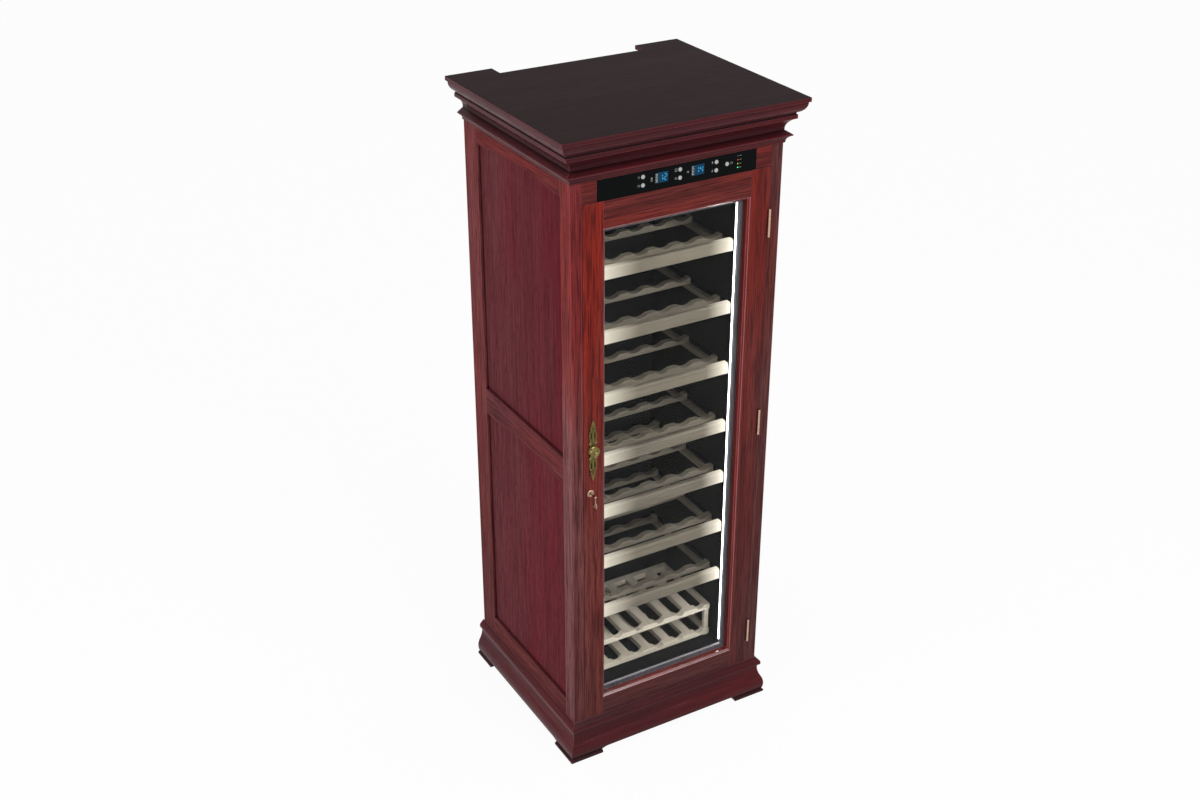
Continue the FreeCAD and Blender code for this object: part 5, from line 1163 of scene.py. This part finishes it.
def panel_marks():
    """Outlines of the pictograms beside the buttons, displays and lights."""
    line = CONTROL_LINE / MM
    column = abs(middle("button_left_up").x) / MM
    row = (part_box("button_left_up")[0].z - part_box("button_left_down")[0].z) / 2 / MM
    beside = 12
    marks = []
    # Cabin lamp and a key pad beside the left pair
    lamp = (-column - beside, line + row)
    marks += [ring_mark(*lamp, 1.9, 2.7, -50, 230), bar_mark(lamp[0], lamp[1] - 3.2, 2.6, 0.9)]
    marks += frame_mark(-column - beside, line - row, 5.6, 4.2, 0.8)
    # Thermometer and scale beside the middle pair
    bulb = (-beside, line + row)
    marks += [ring_mark(bulb[0], bulb[1] - 1.6, 0.9, 1.9, 110, 430), bar_mark(bulb[0], bulb[1] + 2, 1.1, 3.6)]
    marks += frame_mark(bulb[0], bulb[1], 7.2, 8, 0.5)
    marks += [bar_mark(-beside, line - row + step, 6.6, 0.8) for step in (-2, 0, 2)]
    # Arrows beside the right pair
    for way in (1, -1):
        tip = (column - beside, line + way * row)
        marks.append([(tip[0] - 2.8, tip[1]), (tip[0] + 2.8, tip[1]), (tip[0], tip[1] + way * 3.4)])
        marks.append(bar_mark(tip[0], tip[1] - way * 1.9, 1.6, 3.2))
    # Bell before the first display, frost star before the second
    bell = -84.3
    marks.append([(bell - 3, line), (bell + 3, line), (bell + 1, line + 4.6), (bell - 1, line + 4.6)])
    marks += frame_mark(bell, line - 4, 4.6, 3.6, 0.8)
    marks.append(star_mark(24.4, line, 6, 1.3, 4.4))
    # Switch sign after the power button
    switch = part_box("button_power")[1].x / MM + 7.5
    marks += [ring_mark(switch, line, 2.3, 3.1, 120, 420), bar_mark(switch, line + 2.6, 0.8, 3.0)]
    # Dashes after the lights
    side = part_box("displays")[1].x / MM + 3.2
    for step in (1.5, 0.5, -0.5, -1.5):
        up = line + step * LIGHT_PITCH
        marks += [bar_mark(side + 1.4, up, 2.4, 1.2), bar_mark(side + 4.8, up, 2.8, 1.2)]
    return marks


def display_marks(wide):
    """Outlines of the displays' digits, their scales and the scales' grounds."""
    figures, ticks, grounds = [], [], []
    line = CONTROL_LINE / MM
    for centre, text in ((-DISPLAY_OFFSET, "12"), (DISPLAY_OFFSET, "14")):
        grounds.append(bar_mark(centre - 14.4, line, 9.4, 27.6))
        for place, figure in enumerate(text):
            figures += digit_marks(figure, centre - 5.5 + place * 12.5, line - wide, wide, 2.0)
        for step in range(6):
            up = line + (step - 2.5) * 4.1
            ticks += [bar_mark(centre - 16.3, up, 2.4, 1.6), bar_mark(centre - 12.6, up, 2.0, 1.1)]
    return figures, ticks, grounds


class CABINET_OT_control_panel(bpy.types.Operator):
    """Glossy black panel with its displays, lights and marks"""

    bl_idname = "cabinet.control_panel"
    bl_label = "Control panel"

    def execute(self, context):
        look = context.scene.cabinet_fittings
        place = ("fascia", "control_panel_plate", "cabinet", "panel_black")
        dressed(*place, panel_gloss(), width=0.0003, angle=40)
        lights_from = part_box("displays")[1].x - 0.004

        def by_window(centre, normal):
            if normal.y > -0.5:
                return 0
            if centre.x < lights_from:
                return 1
            return 2 + min(3, max(0, round(1.5 - (centre.z - CONTROL_LINE) / (LIGHT_PITCH * MM))))

        lights = [
            glowing("idle light", tint("55565a"), 0.7),
            glowing("orange light", tint("b0481c"), 0.9),
            glowing("yellow light", tint("9aa83a"), 1.0),
            glowing("green light", tint("3fe08a"), 1.6),
        ]
        ground = glowing("display ground", look.window, 0.22)
        place = ("displays", "display_windows", "cabinet", "display_window")
        parts = (panel_gloss(), ground, *lights)
        dressed(*place, *parts, width=0.0002, segments=1, angle=40, pick=by_window)
        figures, ticks, grounds = display_marks(context.scene.cabinet_sizes.digit / MM)
        window_face = PANEL_FACE + 0.0004
        ink = moulded("panel print", tint("8d908d"), tint("6f726f"), 0.5, patch=400.0)
        shade = moulded("scale ground", tint("20282b"), tint("2b3336"), 0.4, patch=300.0, shine=0.15)
        digits = glowing("display digits", look.digit, 0.5)
        scale = glowing("display scale", tint("a2a8aa"), 0.8)
        for name, outlines, face, thick, finish, slot in (
            ("panel_marks", panel_marks(), PANEL_FACE, 0.00006, ink, "panel_black"),
            ("display_digits", figures, window_face, 0.00006, digits, "display_window"),
            ("display_scale_grounds", grounds, window_face, 0.00003, shade, "display_window"),
            ("display_scales", ticks, window_face, 0.00006, scale, "display_window"),
        ):
            piece = printed(name, outlines, face, thick)
            paint(piece, finish)
            hand_over(piece, "cabinet", slot)
        return {"FINISHED"}


class CABINET_OT_buttons(bpy.types.Operator):
    """Seven round push buttons with a ring groove"""

    bl_idname = "cabinet.buttons"
    bl_label = "Buttons"

    def execute(self, context):
        first = turned("button_form", BUTTON_PROFILE, (0, PANEL_FACE, 0), steps=36)
        paint(first, button_metal())
        for node in BUTTONS:
            spot = middle(node)
            button = placed_copy(first, f"{node}_cap", (spot.x, 0, spot.z))
            hand_over(button, node, "button_silver", node)
        removed(first)
        return {"FINISHED"}


# Handle, lock and key, in millimetres

PLATE_THICK = 2.5
# Upper right quarter of the backplate from its tip down: across, up and the bulge of the run that follows
PLATE_QUARTER = [
    (0, 93, 1.6), (5.5, 73, -0.4), (9.5, 68, -0.4), (5.5, 63, 0.8), (10.3, 56, 1.6), (10.3, 35, -0.8),
    (13.5, 23, -0.8), (7.5, 13, 2.0), (15, 0, 0),
]
KNOB_PROFILE = [
    (0, -29), (2.8, -29), (2.8, 2.5), (12, 2.5), (12, 3.3), (10.6, 4.0), (8.2, 5.2), (6.6, 7.0), (6.1, 8.8),
    (6.9, 10.3), (9.8, 11.3), (13.2, 12.0), (14, 12.8), (14, 14.3), (13.5, 15.2), (12.7, 15.4), (12.1, 15.0),
    (11.3, 14.9), (10.8, 15.5), (10.1, 16.4), (9.3, 16.8), (8.4, 16.7), (7.8, 16.1), (7.0, 16.0), (6.4, 16.6),
    (5.6, 17.5), (5.0, 18.6), (4.3, 19.4), (3.1, 19.9), (1.6, 20), (0, 20),
]
KNOB_GROOVES = [(10.2, 12.9), (4.5, 7.6)]
KNOB_FACE = 12.5
ROSE_PROFILE = [
    (4.56, -36.9), (7, -36.9), (7, 0), (10.5, 0), (10.5, 0.8), (10.2, 1.2), (9.6, 1.4), (9.1, 1.2), (8.8, 1.3),
    (8.4, 1.8), (7.5, 2.3), (6.6, 2.5), (5.6, 2.5), (5.0, 2.3), (4.56, 2.0),
]


def four_quarters(quarter, across, up):
    """A closed outline in millimetres from its upper right quarter."""
    last = len(quarter) - 1
    points = []
    for side, rise in ((1, 1), (1, -1), (-1, -1), (-1, 1)):
        downwards = side == rise
        for index in range(last) if downwards else range(last, 0, -1):
            bulge = quarter[index if downwards else index - 1][2]
            points.append((across + side * quarter[index][0], up + rise * quarter[index][1], bulge))
    return points


def stepped(points, step, inset):
    """Places at equal steps just inside a closed outline that is listed clockwise."""
    places = []
    spare = 0.0
    for index, start in enumerate(points):
        run = Vector(points[(index + 1) % len(points)]) - Vector(start)
        if run.length < 1e-6:
            continue
        along = run.normalized()
        inward = Vector((along.y, -along.x))
        at = step - spare
        while at <= run.length:
            places.append(tuple(Vector(start) + along * at + inward * inset))
            at += step
        spare = (spare + run.length) % step
    return places


def scroll(name, centre, face, start, turn, radius):
    """A raised line that curls inwards from a rim."""
    points = []
    for step in range(26):
        share = step / 25
        angle = math.radians(start + turn * share)
        reach = radius * (1 - 0.75 * share)
        across = centre[0] + reach * math.cos(angle)
        up = centre[1] + reach * math.sin(angle)
        points.append((across * MM, face, up * MM))
    return tube(name, points, 0.00065)


def plate_relief(sizes):
    """Beads along the rim and the spine of the handle plate, ribs at its tips and scrolls on its leaves."""
    face = PANEL_FACE - PLATE_THICK * MM
    spot = middle("knob")
    x, z = spot.x / MM, spot.z / MM
    relief = []
    rim = traced(four_quarters(PLATE_QUARTER, x, z), 6)
    for across, up in stepped(rim, sizes.rim_step / MM, 0.9):
        relief.append(bead("rim_bead", (across * MM, face, up * MM), sizes.rim_bead))
    for step in range(9):
        for way in (1, -1):
            rise = 30 + step * 3.6 if step < 8 else 74
            radius = sizes.spine_bead - step * 0.00007
            relief.append(bead("spine_bead", (x * MM, face, (z + way * rise) * MM), radius))
    for way in (1, -1):
        spine = [(x * MM, face, (z + way * rise) * MM) for rise in (76, 80, 84, 87)]
        relief.append(tube("tip_rib", spine, 0.0007))
        for side in (1, -1):
            turn = 440 * side * way
            start = 90 - 90 * side if way > 0 else 90 + 90 * side
            relief.append(scroll("leaf_scroll", (x + side * 7.6, z + way * 22.5), face, start, turn, 3.6))
    return relief


class CABINET_OT_handle(bpy.types.Operator):
    """Beaded backplate with scrolls, and the ringed pull"""

    bl_idname = "cabinet.handle"
    bl_label = "Handle"

    def execute(self, context):
        plate = copied("handle_plate", "handle_backplate")
        rounded(plate, 0.0005, 2, 40)
        plate_faces = len(plate.data.polygons)
        plate = joined("handle_backplate", [plate, *plate_relief(context.scene.cabinet_sizes)])
        smooth(plate, 40)
        paint(plate, antique_brass(), dark_brass())
        for face in plate.data.polygons[:plate_faces]:
            face.material_index = 1
        hand_over(plate, "door", "olive_brass", "handle_plate")
        spot = middle("knob")

        def by_ring(centre, normal):
            radius = math.hypot(centre.x - spot.x, centre.z - spot.z) / MM
            at_front = centre.y < PANEL_FACE - KNOB_FACE * MM
            in_groove = any(low < radius < high for low, high in KNOB_GROOVES)
            return 1 if at_front and in_groove else 0

        knob = turned("handle_knob", KNOB_PROFILE, (spot.x, PANEL_FACE, spot.z))
        paint(knob, antique_brass(), dark_brass(), pick=by_ring)
        hand_over(knob, "door", "olive_brass", "knob")
        return {"FINISHED"}


class CABINET_OT_lock(bpy.types.Operator):
    """Lock rose, plug with its cam, and the key with its folding bow"""

    bl_idname = "cabinet.lock"
    bl_label = "Lock and key"

    def execute(self, context):
        spot = middle("lock_barrel")
        rose = turned("lock_rose", ROSE_PROFILE, (spot.x, PANEL_FACE, spot.z))
        paint(rose, key_metal())
        hand_over(rose, "door", "key_metal", "lock_barrel")
        finishes = stock_finishes()
        for node, name, body, slot, width in (
            ("lock_cam", "lock_plug_and_cam", "key", "lock_steel", 0.0002),
            ("key", "key_shank", "key", "key_metal", 0.0004),
            ("key_bow", "key_open_bow", "key_bow", "key_metal", 0.0006),
        ):
            dressed(node, name, body, slot, finishes[slot], width=width, segments=3, angle=35)
        return {"FINISHED"}


class CABINET_OT_hinges(bpy.types.Operator):
    """Butt hinges with rounded knuckles"""

    bl_idname = "cabinet.hinges"
    bl_label = "Hinges"

    def execute(self, context):
        for node, body in (("hinge_case_leaves", "cabinet"), ("hinge_door_leaves", "door")):
            place = (node, f"{node}_plated", body, "hinge_brass")
            dressed(*place, hinge_plating(), width=0.0004, segments=3, angle=35)
        return {"FINISHED"}


# Inside of the cabin

STRIP_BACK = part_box("shelf_1")[0].y + 0.018
RAIL_WIDE = 0.016
RAIL_DEEP = 0.0125
RACK_BAR = 0.021


class CABINET_OT_shelves(bpy.types.Operator):
    """Seven cradle shelves with rounded front strips"""

    bl_idname = "cabinet.shelves"
    bl_label = "Shelves"

    def execute(self, context):
        def by_length(centre, normal):
            if centre.y < STRIP_BACK + 0.0005:
                return 0
            at_side = abs(centre.x) > SHELF_END - RAIL_WIDE - 0.001
            low_part = abs(normal.x) > 0.5 or centre.z < foot + RAIL_DEEP
            return 2 if at_side and low_part else 1

        woods = (beech(lit=True), beech("across"), beech("deep"))
        edge = context.scene.cabinet_sizes.shelf_edge
        for number in range(1, 8):
            node = f"shelf_{number}"
            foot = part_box(node)[0].z
            place = (node, f"{node}_frame", node, "shelf_wood")
            dressed(*place, *woods, width=edge, angle=32, pick=by_length)
        return {"FINISHED"}


class CABINET_OT_rack(bpy.types.Operator):
    """Slatted bottle rack on the cabin floor"""

    bl_idname = "cabinet.rack"
    bl_label = "Bottle rack"

    def execute(self, context):
        low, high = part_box("bottle_rack")

        def by_bar(centre, normal):
            return 0 if centre.y < low.y + RACK_BAR or centre.y > high.y - RACK_BAR else 1

        place = ("bottle_rack", "bottle_rack_tiers", "cabinet", "rack_wood")
        woods = (pale_beech("across"), pale_beech("deep"))
        dressed(*place, *woods, width=context.scene.cabinet_sizes.shelf_edge, angle=32, pick=by_bar)
        return {"FINISHED"}


class CABINET_OT_light_strips(bpy.types.Operator):
    """Aluminium channels with lit diffusers beside the shelves"""

    bl_idname = "cabinet.light_strips"
    bl_label = "Light strips"

    def execute(self, context):
        take(copied("led_strips", "cabin_light_strips"))
        bpy.ops.mesh.separate(type="LOOSE")
        finishes = stock_finishes()
        channel_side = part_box("led_strips")[1].x - 0.0005
        for index, piece in enumerate(sorted(context.selected_objects, key=lambda part: part.name)):
            is_channel = max(abs(vertex.co.x) for vertex in piece.data.vertices) > channel_side
            kind, slot = ("channel", "plain_aluminium") if is_channel else ("diffuser", "light_diffuser")
            piece.name = f"light_{kind}_{index}"
            rounded(piece, 0.0002, 2, 40)
            paint(piece, finishes[slot])
            hand_over(piece, "cabinet", slot, "led_strips")
        return {"FINISHED"}


class CABINET_OT_spacer(bpy.types.Operator):
    """Grey mirror band round the glass, and the door's gasket"""

    bl_idname = "cabinet.spacer"
    bl_label = "Pane edge and gasket"

    def execute(self, context):
        band = brushed("pane edge", "upright", tint("bfbac2"), 0.2, 0.9, 0.00003, 0.1)
        place = ("glass_spacer", "pane_edge_frame", "door", "plain_aluminium")
        dressed(*place, band, width=0.0003, angle=40)
        rubber = stock_finishes()["seal_rubber"]
        place = ("door_gasket", "door_gasket_ring", "door", "seal_rubber")
        dressed(*place, rubber, width=0.0012, segments=3, angle=40)
        return {"FINISHED"}


# Machine, liner and boards behind

SOFTENED = [
    ("case_boards", "carcass_wood", 0.0006),
    ("plinth_blocks", "carcass_wood", 0.0008),
    ("back_sheet", "plated_sheet", 0.0002),
    ("power_inlet", "liner_black", 0.0005),
    ("drain_pan", "liner_black", 0.0006),
    ("compressor", "machine_black", 0.0008),
    ("air_duct_cover", "liner_black", 0.0006),
    ("control_box", "liner_black", 0.0004),
    ("strike_plate", "hinge_brass", 0.0003),
    ("evaporator", "plain_aluminium", 0.0002),
    ("shelf_runners", "liner_black", 0.0003),
    ("inner_liner", "liner_black", 0.0016),
]
SCREW_PROFILE = [
    (0, -0.8), (1.9, -0.8), (1.9, 0), (4, 0), (3.9, 0.6), (3.3, 1.4), (2.3, 1.9), (1.5, 2.0), (1.3, 1.2),
    (0, 1.2),
]
SCREW_ACROSS = 0.288
SCREW_PITCH = 0.292
SCREW_INSET = 0.012
LOWEST_SIDE_SCREW = 0.03
MACHINE_PLATE = 0.0022


class CABINET_OT_machine(bpy.types.Operator):
    """Softened boards, liner, back sheet with its screws, and machine pieces"""

    bl_idname = "cabinet.machine"
    bl_label = "Machine and back"

    def execute(self, context):
        finishes = stock_finishes()
        for node, slot, width in SOFTENED:
            place = (node, f"{node}_softened", "cabinet", slot)
            dressed(*place, finishes[slot], width=width, angle=35)
        plate_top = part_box("compressor_mounts")[0].z + MACHINE_PLATE
        low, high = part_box("back_sheet")

        def by_height(centre, normal):
            return 1 if centre.z > plate_top else 0

        def by_facing(centre, normal):
            return 1 if centre.z < low.z else 0

        pair = (finishes["machine_black"], finishes["seal_rubber"])
        place = ("compressor_mounts", "machine_plate_and_grommets", "cabinet", "seal_rubber")
        dressed(*place, *pair, width=0.0005, angle=35, pick=by_height)
        pair = (finishes["foam"], finishes["plated_sheet"])
        dressed("insulation", "insulation_block", "cabinet", "foam", *pair, pick=by_facing)
        lowest = low.z + LOWEST_SIDE_SCREW
        spots = [(way * SCREW_ACROSS, lowest + step * SCREW_PITCH) for way in (1, -1) for step in range(6)]
        rows = (low.z + SCREW_INSET, high.z - SCREW_INSET)
        spots += [(way * SCREW_ACROSS / 2, up) for way in (-1, 0, 1) for up in rows]
        first = turned("screw_form", SCREW_PROFILE, (0, high.y, 0), (0, 1, 0), 14)
        screws = [placed_copy(first, "back_screw", (across, 0, up)) for across, up in spots]
        removed(first)
        heads = joined("back_sheet_screws", screws)
        paint(heads, finishes["plated_sheet"])
        hand_over(heads, "cabinet", "plated_sheet")
        return {"FINISHED"}


class CABINET_OT_finish_nodes(bpy.types.Operator):
    """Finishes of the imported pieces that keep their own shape"""

    bl_idname = "cabinet.finish_nodes"
    bl_label = "Finish the packed pieces"

    def execute(self, context):
        finishes = stock_finishes()
        for node in nodes.values():
            for held in node.material_slots:
                if held.material and held.material.name in finishes:
                    held.material = finishes[held.material.name]
        nodes["door_glass"].visible_shadow = False
        return {"FINISHED"}


# Stage

CAMERA_PLACE = (-2.0964, -3.4895, 3.1599)
CAMERA_AZIMUTH = 30.085
CAMERA_DOWN = 28.085


def aimed(name, place, target, size, power):
    """A square soft lamp turned to a target."""
    clear_selection()
    bpy.ops.object.light_add(type="AREA", location=place)
    lamp = added(name)
    lamp.data.shape = "SQUARE"
    lamp.data.size = size
    lamp.data.energy = power
    lamp.rotation_euler = (Vector(target) - Vector(place)).to_track_quat("-Z", "Y").to_euler()


def seen_directly(tree):
    """One for camera, glossy and transmission rays."""
    path = node_in(tree, "ShaderNodeLightPath")
    seen = maths(tree, "MAXIMUM", path.outputs["Is Camera Ray"], path.outputs["Is Glossy Ray"])
    return maths(tree, "MAXIMUM", seen, path.outputs["Is Transmission Ray"])


def floor_material():
    """Pale floor that keeps a faint shadow."""
    material = bpy.data.materials.new("pale floor")
    material.use_nodes = True
    tree = material.node_tree
    tree.nodes.clear()
    matte = node_in(tree, "ShaderNodeBsdfDiffuse")
    feed(tree, matte, Color=(0.95, 0.95, 0.95, 1.0))
    mixed = node_in(tree, "ShaderNodeMixShader")
    give(tree, mixed.inputs[0], times(tree, seen_directly(tree), 0.94))
    give(tree, mixed.inputs[1], matte.outputs[0])
    give(tree, mixed.inputs[2], node_in(tree, "ShaderNodeEmission").outputs[0])
    feed(tree, node_in(tree, "ShaderNodeOutputMaterial"), Surface=mixed.outputs[0])
    return material


class CABINET_OT_stage(bpy.types.Operator):
    """Floor, soft light and camera"""

    bl_idname = "cabinet.stage"
    bl_label = "Stage"

    def execute(self, context):
        studio = context.scene.cabinet_studio
        clear_selection()
        bpy.ops.mesh.primitive_plane_add(size=60)
        floor = added("floor")
        paint(floor, floor_material())
        aimed("key_lamp", (0.6, -4.2, 3.6), (0, 0, 1.0), 2.6, studio.key)
        aimed("side_lamp", (-4.4, -0.8, 2.6), (0, 0, 1.0), 2.6, studio.fill)
        world = bpy.data.worlds.new("studio light")
        context.scene.world = world
        world.use_nodes = True
        tree = world.node_tree
        level = plus(tree, times(tree, seen_directly(tree), 1.0 - studio.sky), studio.sky)
        feed(tree, tree.nodes["Background"], Color=(1.0, 1.0, 1.0, 1.0), Strength=level)
        clear_selection()
        turn = (math.pi / 2 - math.radians(CAMERA_DOWN), 0, -math.radians(CAMERA_AZIMUTH))
        bpy.ops.object.camera_add(location=CAMERA_PLACE, rotation=turn)
        camera = added("camera")
        camera.data.sensor_width = 36
        camera.data.lens = studio.lens
        context.scene.camera = camera
        context.scene.view_settings.view_transform = "Standard"
        return {"FINISHED"}


HOLDERS = {
    "cabinet_timber": TimberLook,
    "cabinet_fittings": Fittings,
    "cabinet_sizes": Sizes,
    "cabinet_studio": Studio,
}


class CABINET_PT_panel(bpy.types.Panel):
    """Sizes, colours and steps of the wine cabinet"""

    bl_label = "Wine cabinet"
    bl_idname = "CABINET_PT_panel"
    bl_space_type = "VIEW_3D"
    bl_region_type = "UI"
    bl_category = "Wine cabinet"

    def draw(self, context):
        for name, holder in HOLDERS.items():
            box = self.layout.box()
            for option in holder.__annotations__:
                box.prop(getattr(context.scene, name), option)
        for step in STEPS:
            self.layout.operator(step.bl_idname, text=step.bl_label)


STEPS = (
    CABINET_OT_finish_nodes,
    CABINET_OT_mouldings,
    CABINET_OT_plinth,
    CABINET_OT_boards,
    CABINET_OT_top,
    CABINET_OT_beads,
    CABINET_OT_control_panel,
    CABINET_OT_buttons,
    CABINET_OT_handle,
    CABINET_OT_lock,
    CABINET_OT_hinges,
    CABINET_OT_shelves,
    CABINET_OT_rack,
    CABINET_OT_light_strips,
    CABINET_OT_spacer,
    CABINET_OT_machine,
    CABINET_OT_stage,
)
CLASSES = (*HOLDERS.values(), *STEPS, CABINET_PT_panel)


def register():
    for listed in CLASSES:
        bpy.utils.register_class(listed)
    for name, holder in HOLDERS.items():
        setattr(bpy.types.Scene, name, bpy.props.PointerProperty(type=holder))


def unregister():
    for name in HOLDERS:
        delattr(bpy.types.Scene, name)
    for listed in reversed(CLASSES):
        bpy.utils.unregister_class(listed)


def main():
    register()
    bpy.ops.cabinet.finish_nodes()
    bpy.ops.cabinet.mouldings()
    bpy.ops.cabinet.plinth()
    bpy.ops.cabinet.boards()
    bpy.ops.cabinet.top()
    bpy.ops.cabinet.beads()
    bpy.ops.cabinet.control_panel()
    bpy.ops.cabinet.buttons()
    bpy.ops.cabinet.handle()
    bpy.ops.cabinet.lock()
    bpy.ops.cabinet.hinges()
    bpy.ops.cabinet.shelves()
    bpy.ops.cabinet.rack()
    bpy.ops.cabinet.light_strips()
    bpy.ops.cabinet.spacer()
    bpy.ops.cabinet.machine()
    bpy.ops.cabinet.stage()


if __name__ == "__main__":
    main()
